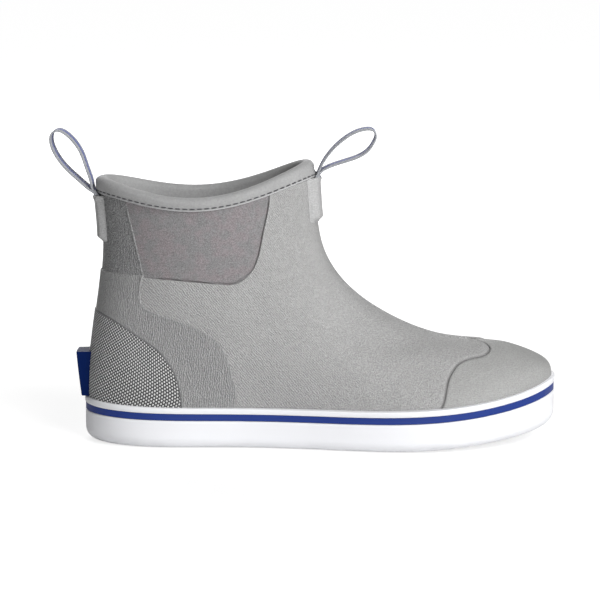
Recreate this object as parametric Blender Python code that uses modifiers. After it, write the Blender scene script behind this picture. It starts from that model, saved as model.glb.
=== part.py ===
"""Deck boot: a right, pull-on rubber ankle boot with stretch gores and webbing pull loops.

Frame while modelling: x runs from the heel to the toe, y = 0 is the middle of the heel, the
lateral side is -Y and z = 0 is the ground.  The last section moves the whole boot so that its
origin is the middle of its footprint.
"""

import math

import bmesh
import bpy
import numpy as np
from mathutils import Matrix, Vector

# Sizes are millimetres; the meshes are written in metres.
MM = 0.001
GAP = 0.3               # clearance between pieces that meet edge to edge
LAYER_GAP = 0.6         # clearance under a piece that lies over another

# Overall sizes of the rubber upper
UPPER_LENGTH = 302.0    # back of the heel to the tip of the toe
UPPER_HEIGHT = 169.0    # feather line to the front of the collar
BALL_WIDTH = 106.0      # widest place across the sole
TOE_TURN = 6.0          # how far the toe turns to the medial side

# Sole
OUTSOLE_BASE = 5.0      # thickness of rubber under the foot
MIDSOLE = 4.4
SOLE_HEIGHT = 26.3      # ground to the top of the white bead, heel to ball
TOE_SPRING = 9.0        # lift of the sole under the toe tip
TOE_EASE = 0.46         # how much more the upper lifts there
SPRING_START = 0.61     # share of the length where the lift starts
BEAD_CLIMB = 5.7        # how much taller the sole wall is at the toe
HEEL_WALL = 3.4         # thickness of the cup's wall, gap to the upper included
TOE_WALL = 5.6
EDGE_RADIUS = 7.0       # round lower edge of the sole
FOXING = 1.0            # thickness of the two strips round the sole
STRIPE_HEIGHT = 3.6
BEAD_HEIGHT = 3.6
BEAD_PROUD = 0.5

# Inside the boot
SHANK = (96.0, 16.0, 1.2)
SHANK_START = 82.0      # x of its heel end
INSOLE_BOARD = 1.5
FOOTBED = 3.6
FOOTBED_LIP = 3.0       # how much higher its edge stands
COVER = 1.0
DISH_WIDTH = 9.0        # width of the footbed's raised edge

# Upper layers, measured outward from the outer face of the rubber shell
SHELL = 2.0
GORE = 1.4
GORE_RECESS = 0.6
LINING = 2.6
LINING_GAP = 1.0
TOE_CAP = 1.2
OVERLAY = 1.0
COUNTER = 1.0
TAB_WIDTH = 25.0
TAB_TOP = 5.2           # how far the kick tab stands out at its top edge
TAB_BOTTOM = 1.4
TAB_HEIGHT = 30.0
BINDING = 1.0
BINDING_DROP = 7.0      # flap length below the cut edge of the upper
BINDING_CROWN = 2.2     # how far the rolled edge stands over the cut edge

# Pull loops
WEBBING_WIDTH = 18.0
WEBBING = 1.2
STRAP_WIDTH = 30.0      # front cover patch
PATCH_WIDTH = 28.0      # rear cover patch
STRAP_LENGTH = 28.0
PATCH_LENGTH = 30.0
STRAP_SKIN = 0.8
STRAP_RAMP = 3.0        # distance over which a cover climbs onto the webbing
TAIL_START = 1.4        # where the webbing starts under a cover, in lengths of that climb
PIVOT_CLEAR = 2.2       # free radius about each loop's fold line

FRONT_COLUMNS = 8       # sections from the toe to the gore
BACK_COLUMNS = 7        # sections from the gore to the heel
WIDEST_COLUMN = 0.17    # largest angle between sections beside the gore
WIDEST_ROW = 0.07
OVERLAY_COLUMNS = 25
COUNTER_COLUMNS = 19
ROWS = (0.0, 0.06, 0.11, 0.155, 0.20, 0.26, 0.33, 0.41, 0.50, 0.60, 0.68, 0.75, 0.81, 0.86,
        0.90, 0.95, 1.0)
LINING_ROWS = (0.0, 0.10, 0.22, 0.36, 0.46, 0.56, 0.66, 0.76, 0.84, 0.92, 1.0)
WALL_RINGS = (1, 0.75, 0.5, 0.25, 0)    # inside of the sole's cup, top to bottom
FOOT_LEVELS = np.linspace(0, 0.45, 46)  # levels searched for a height
COLLAR_LEVELS = np.linspace(1, 0.7, 31)

# Stations along each ring, as shares of its length from heel to toe.
STATIONS = (0.0, 0.12, 0.28, 0.45, 0.60, 0.75, 0.88, 1.0)
NECK = (36.8, 36.3, 36.3, 35.4, 34.4, 33.5, 33.0, 34.0)
HEM = (37.7, 37.7, 37.7, 37.3, 36.8, 36.3, 36.8, 38.7)
# Rings of the last, feather line to collar: level, toe end x and z, heel end x and z, how late
# the ring climbs to the toe, dip at the sides in mm, lateral and medial fullness at the stations.
# x is a percentage of the length, z of the height, and fullness of the ball width.  The toe end
# also lifts with the sole, in proportion to how late its ring climbs.
RINGS = (
    (0.00, 99.0, 0.0, 0.7, 0.0, 1.0, 0.0,
     (57.5, 47.6, 36.3, 35.8, 43.9, 52.8, 56.6, 60.4),
     (57.5, 47.6, 34.4, 29.2, 36.8, 50.5, 58.5, 60.4)),
    (0.10, 100.0, 13.0, 0.2, 8.3, 1.0, 0.0,
     (58.5, 48.6, 37.3, 36.8, 44.8, 53.8, 58.5, 64.2),
     (58.5, 48.6, 35.4, 31.1, 38.7, 51.4, 60.4, 64.2)),
    (0.20, 97.5, 20.4, 0.1, 13.6, 0.8, 0.0,
     (57.5, 49.1, 38.2, 36.8, 42.5, 48.6, 51.9, 64.2),
     (57.5, 49.1, 37.3, 34.0, 39.2, 48.1, 53.8, 64.2)),
    (0.32, 88.1, 28.0, 0.3, 20.1, 0.5, 0.0,
     (54.7, 46.7, 38.7, 36.8, 38.7, 40.1, 39.6, 41.5),
     (54.7, 46.7, 38.2, 35.4, 37.3, 40.6, 41.5, 41.5)),
    (0.46, 75.5, 33.0, 0.9, 29.6, 0.2, 0.0,
     (49.1, 43.4, 38.2, 36.3, 35.8, 35.4, 34.0, 34.0),
     (49.1, 43.4, 38.2, 35.8, 35.8, 36.3, 35.4, 34.0)),
    (0.60, 61.8, 45.1, 1.9, 42.6, 0.0, 0.0,
     (42.5, 39.2, 36.8, 35.4, 34.4, 33.5, 33.0, 34.0),
     (42.5, 39.2, 36.8, 35.4, 34.4, 33.5, 33.0, 34.0)),
    (0.78, 51.9, 63.3, 3.4, 63.9, 0.0, 0.0, NECK, NECK),
    (0.90, 49.5, 78.7, 3.4, 78.7, 0.0, 4.0,
     (36.8, 36.8, 36.8, 36.3, 35.4, 34.4, 34.4, 35.8),
     (36.8, 36.8, 36.8, 36.3, 35.4, 34.4, 34.4, 35.8)),
    (1.00, 48.7, 100.0, 2.6, 93.8, 0.0, 13.0, HEM, HEM),
)

# Outlines on the last as (angle round the boot, level); angle 0 is the toe, pi the heel.
GORE_EDGE = ((0.932, 1.0), (0.946, 0.968), (1.023, 0.909), (1.162, 0.805), (1.255, 0.761),
             (1.345, 0.735), (1.463, 0.717), (1.551, 0.718), (1.798, 0.727), (2.064, 0.734),
             (2.233, 0.737))
GORE_BACK = ((2.233, 0.737), (2.410, 1.0))
GORE_CORNER = (1.0, 1.6)    # angles between which its edge turns from the front to the foot
SHAFT_LEVEL = 0.85          # middle of the shaft, where its angles and levels are measured
HEEL_LEVEL = 0.25
PANEL_FOOT = 0.741      # level where the rear shaft panel starts
OVERLAY_FRONT = ((1.950, 0.131), (1.877, 0.310), (1.806, 0.444), (1.786, 0.516), (1.831, 0.564),
                 (1.990, 0.603), (2.147, 0.628), (2.248, 0.648), (2.273, 0.678), (2.263, 0.708),
                 (2.237, 0.733))
COUNTER_TOP = ((2.165, 0.44), (2.229, 0.518), (2.319, 0.540), (2.538, 0.579), (2.748, 0.609),
               (math.pi, 0.617))
COUNTER_FOOT = 2.197    # angle of the counter's front lower corner
TOE_CAP_EDGE = ((0.0, 0.385), (0.1, 0.362), (0.165, 0.345), (0.319, 0.314), (0.431, 0.301),
                (0.522, 0.296), (0.60, 0.298), (0.702, 0.293), (0.794, 0.274), (0.888, 0.243),
                (0.986, 0.181), (1.023, 0.130))

# Pull loops at rest, as (outward, up) from the fold line
REAR_LOOP = ((0.8, 0.8), (8.1, 7.0), (14.6, 13.0), (20.4, 19.6), (24.2, 26.0), (26.2, 33.3),
             (25.0, 37.6), (21.8, 39.2), (17.6, 37.8), (13.2, 34.1), (9.4, 29.4), (6.4, 23.8),
             (4.4, 18.0), (2.4, 12.0), (0.5, 5.2), (-0.7, 0.9))
FRONT_LOOP = ((-0.7, 0.8), (0.1, 7.6), (4.6, 15.4), (11.5, 22.2), (20.1, 27.8), (28.6, 30.4),
              (33.7, 29.3), (35.1, 25.8), (33.8, 21.4), (30.5, 16.2), (24.4, 12.0), (16.7, 9.4),
              (9.0, 7.0), (3.4, 4.2), (0.8, 1.1))
PIVOT_OUT = 3.9         # fold line's distance from the shell
LOOP_STEPS = 30

FEATHER = OUTSOLE_BASE + MIDSOLE + 2 * GAP

COLOURS = {
    "white_rubber": ((0.88, 0.89, 0.92), 0.45),
    "blue_rubber": ((0.021, 0.047, 0.212), 0.42),
    "grey_rubber": ((0.42, 0.42, 0.42), 0.55),
    "dark_grey_rubber": ((0.30, 0.30, 0.30), 0.6),
    "gore_fabric": ((0.26, 0.24, 0.245), 0.85),
    "lining_fabric": ((0.33, 0.33, 0.33), 0.9),
    "webbing": ((0.36, 0.37, 0.40), 0.8),
    "foam": ((0.12, 0.13, 0.15), 0.9),
    "board": ((0.45, 0.36, 0.24), 0.8),
    "glass_fibre": ((0.50, 0.47, 0.30), 0.4),
}


def clear_scene():
    for thing in list(bpy.data.objects):
        bpy.data.objects.remove(thing, do_unlink=True)


def collection(name):
    group = bpy.data.collections.new(name)
    bpy.context.scene.collection.children.link(group)
    return group


def material(slot):
    found = bpy.data.materials.get(slot)
    if found:
        return found
    colour, roughness = COLOURS[slot]
    made = bpy.data.materials.new(slot)
    made.use_nodes = True
    shader = made.node_tree.nodes["Principled BSDF"]
    shader.inputs["Base Color"].default_value = (*colour, 1.0)
    shader.inputs["Roughness"].default_value = roughness
    shader.inputs["Metallic"].default_value = 0.0
    return made


# ---------------------------------------------------------------- the last

def spline_weights(knots, places):
    """Rows that turn the values at the knots into a natural cubic's values at the places."""
    knots = np.asarray(knots, float)
    count = len(knots)
    step = np.diff(knots)
    left = np.eye(count)
    right = np.zeros((count, count))
    for i in range(1, count - 1):
        left[i, i - 1:i + 2] = step[i - 1], 2 * (step[i - 1] + step[i]), step[i]
        right[i, i - 1:i + 2] = 6 / step[i - 1], -6 / step[i - 1] - 6 / step[i], 6 / step[i]
    bend = np.linalg.solve(left, right)
    weights = np.zeros((len(places), count))
    for row, place in enumerate(places):
        i = min(max(int(np.searchsorted(knots, place)) - 1, 0), count - 2)
        size = step[i]
        a = (knots[i + 1] - place) / size
        b = (place - knots[i]) / size
        weights[row, i] += a
        weights[row, i + 1] += b
        weights[row] += ((a**3 - a) * bend[i] + (b**3 - b) * bend[i + 1]) * size**2 / 6
    return weights


LEVELS = [ring[0] for ring in RINGS]
ENDS = np.array([ring[1:7] for ring in RINGS], float)
LATERAL = np.array([ring[7] for ring in RINGS], float)
MEDIAL = np.array([ring[8] for ring in RINGS], float)


def middle(x):
    """y of the boot's middle line, which turns to the medial side towards the toe."""
    half = UPPER_LENGTH / 2
    return TOE_TURN * np.clip((x - half) / half, 0, None)**2


def last(angle, level):
    """Points on the outer face of the shell; the two arrays have one shape."""
    angle, level = np.broadcast_arrays(np.asarray(angle, float), np.asarray(level, float))
    shape = angle.shape
    angle, level = angle.ravel(), np.clip(level.ravel(), 0, 1)
    across = spline_weights(LEVELS, level)
    toe_x, toe_z, heel_x, heel_z, late, dip = (across @ ENDS).T
    share = (1 + np.cos(angle)) / 2
    along = spline_weights(STATIONS, share)
    side = np.where(np.sin(angle)[:, None] >= 0, across @ LATERAL, across @ MEDIAL)
    fullness = (side * along).sum(axis=1) * BALL_WIDTH / 100
    x = (heel_x + (toe_x - heel_x) * share) * UPPER_LENGTH / 100
    climb = (1 - late) * share + late * share**5
    rise = (toe_z - heel_z) * UPPER_HEIGHT / 100 + late * (TOE_SPRING + TOE_EASE)
    z = FEATHER + heel_z * UPPER_HEIGHT / 100 + rise * climb
    z -= dip * np.abs(np.sin(angle))**3
    y = middle(x) - fullness * np.sin(angle)
    return np.stack([x, y, z], axis=-1).reshape(shape + (3,))


def unit(vectors):
    return vectors / np.linalg.norm(vectors, axis=-1, keepdims=True)


def outward(angle, level):
    step = 0.004
    level = np.clip(level, step, 1 - step)
    round_way = last(angle + step, level) - last(angle - step, level)
    up_way = last(angle, level + step) - last(angle, level - step)
    return unit(np.cross(up_way, round_way))


def skin(angle, level, offset):
    """Points on the last, moved outward by the offset."""
    angle, level = np.broadcast_arrays(np.asarray(angle, float), np.asarray(level, float))
    offset = np.broadcast_to(np.asarray(offset, float), angle.shape)
    return last(angle, level) + outward(angle, level) * offset[..., None]


def level_at_height(angle, z):
    """Level at which each column of the last reaches a height."""
    heights = last(np.asarray(angle)[:, None], FOOT_LEVELS[None, :])[..., 2]
    z = np.broadcast_to(z, (len(angle),))
    return np.array([np.interp(z[i], heights[i], FOOT_LEVELS) for i in range(len(angle))])


def level_below_rim(angle, drop):
    """Level that lies a distance down each column from the collar's cut edge."""
    points = last(np.asarray(angle)[:, None], COLLAR_LEVELS[None, :])
    run = np.linalg.norm(np.diff(points, axis=1), axis=2).cumsum(axis=1)
    run = np.concatenate([np.zeros((len(run), 1)), run], axis=1)
    drop = np.broadcast_to(drop, (len(run),))
    return np.array([np.interp(drop[i], run[i], COLLAR_LEVELS) for i in range(len(run))])


def angle_per_mm(angle, level):
    step = 0.01
    ends = last(np.array([angle - step, angle + step]), np.array([level, level]))
    return 2 * step / np.linalg.norm(ends[1] - ends[0])


def level_per_mm(angle, level):
    step = 0.01
    ends = last(np.array([angle, angle]), np.array([level - step, level + step]))
    return 2 * step / np.linalg.norm(ends[1] - ends[0])


def filled(marks, widest):
    """The marks with even steps between those that lie further apart than the widest step."""
    full = [marks[0]]
    for start, end in zip(marks, marks[1:]):
        pieces = math.ceil(abs(end - start) / widest)
        full += list(np.linspace(start, end, pieces + 1)[1:])
    return np.array(full)


def ring_angles():
    """Column angles round the boot, with the gore's corners on columns, mirrored side to side."""
    marks = filled([angle for angle, _ in GORE_EDGE], WIDEST_COLUMN)
    front = np.linspace(0, marks[0], FRONT_COLUMNS + 1)
    back = np.linspace(marks[-1], math.pi, BACK_COLUMNS + 1)
    half = np.concatenate([front[:-1], marks, back[1:]])
    return np.concatenate([half, 2 * math.pi - half[-2:0:-1]])


def along(outline, places, column=0):
    """Reads an outline, as a polyline, at places on one of its columns."""
    points = np.array(outline)
    return np.interp(places, points[:, column], points[:, 1 - column])


# ------------------------------------------------------------ mesh helpers

def grid_object(name, grid, slot, group, wrap_columns=False, wrap_rows=False):
    """A quad grid of rows and columns, facing outward when rows go up and columns go round."""
    rows, columns = grid.shape[:2]
    shape = bmesh.new()
    verts = [[shape.verts.new(grid[r, c] * MM) for c in range(columns)] for r in range(rows)]
    for r in range(rows if wrap_rows else rows - 1):
        for c in range(columns if wrap_columns else columns - 1):
            below, above = verts[r], verts[(r + 1) % rows]
            right = (c + 1) % columns
            shape.faces.new((below[c], above[c], above[right], below[right]))
    return finish(name, shape, slot, group)


def finish(name, shape, slot, group):
    bmesh.ops.remove_doubles(shape, verts=shape.verts, dist=0.001 * MM)
    data = bpy.data.meshes.new(name)
    shape.to_mesh(data)
    shape.free()
    data.shade_smooth()
    data.set_sharp_from_angle(angle=math.radians(35))
    made = bpy.data.objects.new(name, data)
    made.data.materials.append(material(slot))
    group.objects.link(made)
    return made


def sheet(name, angle, level, outer, thickness, slot, group, wrap=False):
    """A piece cut from sheet: an open surface on the last with its thickness going inward."""
    made = grid_object(name, skin(angle, level, outer), slot, group, wrap_columns=wrap)
    solid = made.modifiers.new("thickness", "SOLIDIFY")
    solid.thickness = thickness * MM
    solid.offset = -1
    return made


def block(name, angle, level, inner, outer, slot, group):
    """A moulded piece on the last whose thickness changes over its face."""
    front = skin(angle, level, outer)
    back = skin(angle, level, inner)
    rows, columns = front.shape[:2]
    shape = bmesh.new()
    outer_verts = [[shape.verts.new(p * MM) for p in row] for row in front]
    inner_verts = [[shape.verts.new(p * MM) for p in row] for row in back]
    for r in range(rows - 1):
        for c in range(columns - 1):
            for face, turn in ((outer_verts, 1), (inner_verts, -1)):
                corners = [face[r][c], face[r + 1][c], face[r + 1][c + 1], face[r][c + 1]]
                shape.faces.new(corners[::turn])
    rim = [(0, c) for c in range(columns)] + [(r, columns - 1) for r in range(1, rows)]
    rim += [(rows - 1, c) for c in range(columns - 2, -1, -1)]
    rim += [(r, 0) for r in range(rows - 2, 0, -1)]
    for (r0, c0), (r1, c1) in zip(rim, rim[1:] + rim[:1]):
        shape.faces.new((outer_verts[r0][c0], outer_verts[r1][c1],
                         inner_verts[r1][c1], inner_verts[r0][c0]))
    return finish(name, shape, slot, group)


def loft(name, rings, slot, group):
    """A closed body from rings of points; an end that isn't met by the other closes on the
    boot's middle line, and rings that return to the first one close on themselves."""
    rings = [np.array(ring) for ring in rings]
    closed = np.allclose(rings[0], rings[-1])
    if closed:
        rings = rings[:-1]
    else:
        rings = [spine(rings[0])] + rings + [spine(rings[-1])]
    made = grid_object(name, np.stack(rings), slot, group, wrap_columns=True, wrap_rows=closed)
    shape = bmesh.new()
    shape.from_mesh(made.data)
    bmesh.ops.recalc_face_normals(shape, faces=shape.faces)
    shape.to_mesh(made.data)
    shape.free()
    return made


def spine(ring):
    """The ring's columns pulled onto the middle line, lateral and medial ones together."""
    mirror = ring[np.arange(len(ring), 0, -1) % len(ring)]
    x = (ring[:, 0] + mirror[:, 0]) / 2
    z = (ring[:, 2] + mirror[:, 2]) / 2
    return np.stack([x, middle(x), z], axis=-1)


# -------------------------------------------------------------------- sole

def spring(x):
    """Lift of the sole's layers towards the toe."""
    start = UPPER_LENGTH * SPRING_START
    rate = np.clip((x - start) / (UPPER_LENGTH - start), 0, None)
    return TOE_SPRING * rate**2


def sole_top(angle):
    """Height of the top of the bead round the boot."""
    share = (1 + np.cos(angle)) / 2
    return SOLE_HEIGHT + (TOE_SPRING + BEAD_CLIMB) * share**5


def wall_points(angle, share, out):
    """Points outside the last at a share of the sole's height, level with one ring of it."""
    foot = level_at_height(angle, FEATHER + (SOLE_HEIGHT - FEATHER) / 2)
    base = last(angle, foot)
    way = outward(angle, foot)
    way[:, 2] = 0
    way = unit(way)
    points = base + way * np.asarray(out)[..., None]
    low = spring(points[:, 0])
    points[:, 2] = low + (sole_top(angle) - low) * share
    return points


def wall(angle):
    """Distance from the last to the sole's outer face."""
    share = (1 + np.cos(angle)) / 2
    return HEEL_WALL + (TOE_WALL - HEEL_WALL) * np.sqrt(share)


def inner_wall(angle, z, out):
    """Points just off the last at a height."""
    points = skin(angle, level_at_height(angle, z), out)
    points[:, 2] = z
    return points


def make_outsole(group):
    angle = ring_angles()
    face = wall(angle)
    groove = face - FOXING - GAP
    foxing_share = (STRIPE_HEIGHT + BEAD_HEIGHT + GAP) / SOLE_HEIGHT
    rings = []
    for turn in (0, 30, 60, 90):
        lean = math.radians(turn)
        inset = EDGE_RADIUS * (1 - math.sin(lean))
        rise = EDGE_RADIUS * (1 - math.cos(lean)) / SOLE_HEIGHT
        rings.append(wall_points(angle, rise, face - inset))
    ledge = 1 - foxing_share - GAP / SOLE_HEIGHT
    rings.append(wall_points(angle, ledge, face))
    rings.append(wall_points(angle, ledge, groove))
    rings.append(wall_points(angle, 1, groove))
    floor_z = spring(last(angle, 0 * angle)[:, 0]) + OUTSOLE_BASE
    top_z = sole_top(angle)
    feather_z = last(angle, 0 * angle)[:, 2]
    for share in WALL_RINGS:
        rings.append(inner_wall(angle, feather_z + (top_z - feather_z) * share, LAYER_GAP))
    low = inner_wall(angle, feather_z, LAYER_GAP)
    low[:, 2] = floor_z
    rings.append(low)
    return loft("outsole", rings, "white_rubber", group)


def make_foxing(group):
    """The blue stripe and the white bead, two strips round the sole's wall."""
    angle = ring_angles()
    face = wall(angle)
    back = face - FOXING
    bead_low = 1 - BEAD_HEIGHT / SOLE_HEIGHT
    stripe_top = bead_low - GAP / SOLE_HEIGHT
    stripe_low = stripe_top - STRIPE_HEIGHT / SOLE_HEIGHT
    stripe = [wall_points(angle, stripe_low, back), wall_points(angle, stripe_low, face),
              wall_points(angle, stripe_top, face), wall_points(angle, stripe_top, back)]
    loft("foxing_stripe", stripe + stripe[:1], "blue_rubber", group)
    mid = (1 + bead_low) / 2
    bead = [wall_points(angle, bead_low, back), wall_points(angle, bead_low, face),
            wall_points(angle, mid, face + BEAD_PROUD), wall_points(angle, 1, face),
            wall_points(angle, 1, back)]
    loft("foxing_bead", bead + bead[:1], "white_rubber", group)


def plate(name, inset, low, high, slot, group, dish=(0.0, 0.0)):
    """A layer under the foot between two heights over the spring line; dish raises the lower
    and upper face at the edge."""
    angle = ring_angles()
    edge = skin(angle, 0 * angle, -inset)
    inner = skin(angle, 0 * angle, -inset - DISH_WIDTH)
    rings = []
    for points, height in ((inner, low), (edge, low + dish[0]), (edge, high + dish[1]),
                           (inner, high)):
        ring = points.copy()
        ring[:, 2] = spring(points[:, 0]) + height
        rings.append(ring)
    return loft(name, rings, slot, group)


def make_underfoot(group, cutters):
    low = OUTSOLE_BASE + GAP
    midsole = plate("midsole", 0.0, low, low + MIDSOLE, "foam", group)
    make_shank(midsole, low + MIDSOLE, group, cutters)
    inset = SHELL + LINING_GAP + LINING + GAP
    low = FEATHER + GAP
    plate("insole_board", inset, low, low + INSOLE_BOARD, "board", group)
    low += INSOLE_BOARD + GAP
    plate("footbed", inset, low, low + FOOTBED, "foam", group, (0.0, FOOTBED_LIP))
    low += FOOTBED + GAP
    plate("footbed_cover", inset, low, low + COVER, "lining_fabric", group,
          (FOOTBED_LIP, FOOTBED_LIP))


def box(name, centre, size, slot, home):
    bpy.ops.mesh.primitive_cube_add(size=1, location=Vector(centre) * MM)
    made = bpy.context.object
    made.name = name
    made.data.name = name
    made.data.transform(Matrix.Diagonal((*(s * MM for s in size), 1.0)))
    for old in list(made.users_collection):
        old.objects.unlink(made)
    home.objects.link(made)
    made.data.materials.append(material(slot))
    return made


def make_shank(midsole, top, group, cutters):
    """A stiffening strip let into the top of the midsole under the arch."""
    length, width, thickness = SHANK
    centre_x = SHANK_START + length / 2
    box("shank", (centre_x, 0, top - thickness / 2), SHANK, "glass_fibre", group)
    depth = thickness + GAP
    size = (length + 2 * GAP, width + 2 * GAP, 2 * depth)
    pocket = box("shank_pocket", (centre_x, 0, top), size, "glass_fibre", cutters)
    pocket.hide_render = True
    pocket.display_type = "WIRE"
    cut = midsole.modifiers.new("shank pocket", "BOOLEAN")
    cut.operation = "DIFFERENCE"
    cut.object = pocket


# ------------------------------------------------------------------- upper

def shell_top(angle):
    """Cut edge of the rubber shell: the collar in front, the gore's opening, the heel seam."""
    folded = np.where(angle > math.pi, 2 * math.pi - angle, angle)
    edge = along(GORE_EDGE, folded)
    return np.where(folded > GORE_EDGE[-1][0] + 0.01, PANEL_FOOT, edge)


def make_shell(group):
    angle = ring_angles()
    rows = np.array(ROWS)[:, None]
    sheet("vamp_shell", angle + 0 * rows, shell_top(angle) * rows, 0, SHELL,
          "grey_rubber", group, wrap=True)


def make_lining(group):
    angle = ring_angles()
    rows = np.array(LINING_ROWS)[:, None]
    outer = -SHELL - LINING_GAP
    sheet("lining", angle + 0 * rows, rows + 0 * angle, outer, LINING, "lining_fabric", group,
          wrap=True)


def gore_back(level):
    (low_angle, low), (high_angle, high) = GORE_BACK
    return low_angle + (high_angle - low_angle) * (level - low) / (high - low)


def make_gores(group):
    """Stretch panels that fill the openings at the sides of the shaft."""
    seam = LAYER_GAP * level_per_mm(math.pi / 2, SHAFT_LEVEL)
    side = LAYER_GAP * angle_per_mm(math.pi / 2, SHAFT_LEVEL)
    marks = ring_angles()
    marks = marks[(marks > GORE_EDGE[1][0] - 0.001) & (marks < GORE_EDGE[-1][0] + 0.001)]
    foot = along(GORE_EDGE, marks) + seam
    steep, flat = GORE_CORNER
    marks = marks + side * np.clip((flat - marks) / (flat - steep), 0, 1)
    marks[-1] -= side
    share = (marks - marks[0]) / (marks[-1] - marks[0])
    rim = marks[0] + (gore_back(1.0) - side - marks[0]) * share
    rows = np.linspace(0, 1, 6)[:, None]
    angle = marks + (rim - marks) * rows
    level = foot + (1 - foot) * rows
    sheet("gore_lateral", angle, level, -GORE_RECESS, GORE, "gore_fabric", group)
    sheet("gore_medial", 2 * math.pi - angle[:, ::-1], level[:, ::-1], -GORE_RECESS, GORE,
          "gore_fabric", group)


def make_rear_panel(group):
    """The back of the shaft, between the two gores."""
    foot = PANEL_FOOT + GAP * level_per_mm(math.pi, SHAFT_LEVEL)
    level = np.linspace(foot, 1.0, 7)[:, None]
    start = gore_back(level)
    share = np.linspace(0, 1, 2 * BACK_COLUMNS + 1)[None, :]
    angle = start + (2 * math.pi - 2 * start) * share
    sheet("rear_shaft_panel", angle, level + 0 * share, 0, SHELL, "dark_grey_rubber", group)


def above_bead(angle):
    return level_at_height(angle, sole_top(angle) + 2 * GAP)


def make_rear_overlay(group):
    """Second skin round the heel, whose front edge sweeps from the gore down to the sole."""
    levels = filled([level for _, level in OVERLAY_FRONT], WIDEST_ROW)[:, None]
    start = along(OVERLAY_FRONT, levels, column=1)
    share = np.linspace(0, 1, OVERLAY_COLUMNS)[None, :]
    angle = start + (2 * math.pi - 2 * start) * share
    foot = above_bead(angle[0])
    lowest, highest = levels[0], levels[-1]
    level = foot + (highest - foot) * (levels - lowest) / (highest - lowest)
    sheet("rear_quarter_overlay", angle, level, LAYER_GAP + OVERLAY, OVERLAY, "grey_rubber",
          group)


def curtain(low_angle, high_angle, top, rows):
    """Angle and level grids from just over the bead up to an outline."""
    foot = above_bead(low_angle)
    share = np.linspace(0, 1, rows)[:, None]
    angle = low_angle + (high_angle - low_angle) * share
    return angle, foot + (top - foot) * share


def make_counter(group):
    """Textured heel counter, domed at the back."""
    start = COUNTER_TOP[0][0]
    high = np.linspace(start, 2 * math.pi - start, COUNTER_COLUMNS)
    low = np.linspace(COUNTER_FOOT, 2 * math.pi - COUNTER_FOOT, COUNTER_COLUMNS)
    top = along(COUNTER_TOP, np.where(high > math.pi, 2 * math.pi - high, high))
    angle, level = curtain(low, high, top, 8)
    outer = 2 * LAYER_GAP + OVERLAY + COUNTER
    sheet("heel_counter", angle, level, outer, COUNTER, "dark_grey_rubber", group)


def make_kick_tab(group):
    """Wedge at the back of the heel that the other foot holds down to take the boot off."""
    half = TAB_WIDTH / 2 * angle_per_mm(math.pi, HEEL_LEVEL)
    angle = np.linspace(math.pi - half, math.pi + half, 7)
    low = above_bead(angle)
    high = level_at_height(angle, sole_top(angle) + TAB_HEIGHT)
    share = np.linspace(0, 1, 5)[:, None]
    level = low + (high - low) * share
    inner = 3 * LAYER_GAP + OVERLAY + COUNTER
    outer = inner + TAB_BOTTOM + (TAB_TOP - TAB_BOTTOM) * share
    block("heel_kick_tab", angle + 0 * share, level, inner, outer + 0 * angle, "blue_rubber",
          group)


def make_toe_cap(group):
    """Raised cap whose rear edge dips at each side and peaks on the middle line."""
    half = ring_angles()
    half = half[half < TOE_CAP_EDGE[-1][0] + 0.001]
    angle = np.concatenate([-half[:0:-1], half])
    top = along(TOE_CAP_EDGE, np.abs(angle))
    angle, level = curtain(angle, angle, top, 11)
    sheet("toe_cap", angle, level, LAYER_GAP + TOE_CAP, TOE_CAP, "grey_rubber", group)


def make_binding(group):
    """Rolled strip over the cut edge of the collar, a channel with a flap inside and outside."""
    angle = ring_angles()
    foot = level_below_rim(angle, BINDING_DROP)
    rim = 0 * angle + 1
    inside = -SHELL - LINING_GAP - LINING - LAYER_GAP
    outside = LAYER_GAP
    middle_offset = (inside + outside) / 2
    up = unit(last(angle, rim) - last(angle, rim - 0.02))
    crown = GAP + BINDING + BINDING_CROWN
    shoulder = GAP + BINDING

    def hem(offset, rise):
        return skin(angle, rim, offset) + up * rise

    rings = [
        skin(angle, foot, outside), skin(angle, foot, outside + BINDING),
        hem(outside + BINDING, 0), hem(outside + BINDING / 2, shoulder),
        hem(middle_offset, crown), hem(inside - BINDING / 2, shoulder),
        hem(inside - BINDING, 0), skin(angle, foot, inside - BINDING),
        skin(angle, foot, inside), hem(inside, GAP), hem(outside, GAP),
    ]
    loft("collar_binding", rings + rings[:1], "lining_fabric", group)


# -------------------------------------------------------------- pull loops

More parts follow.
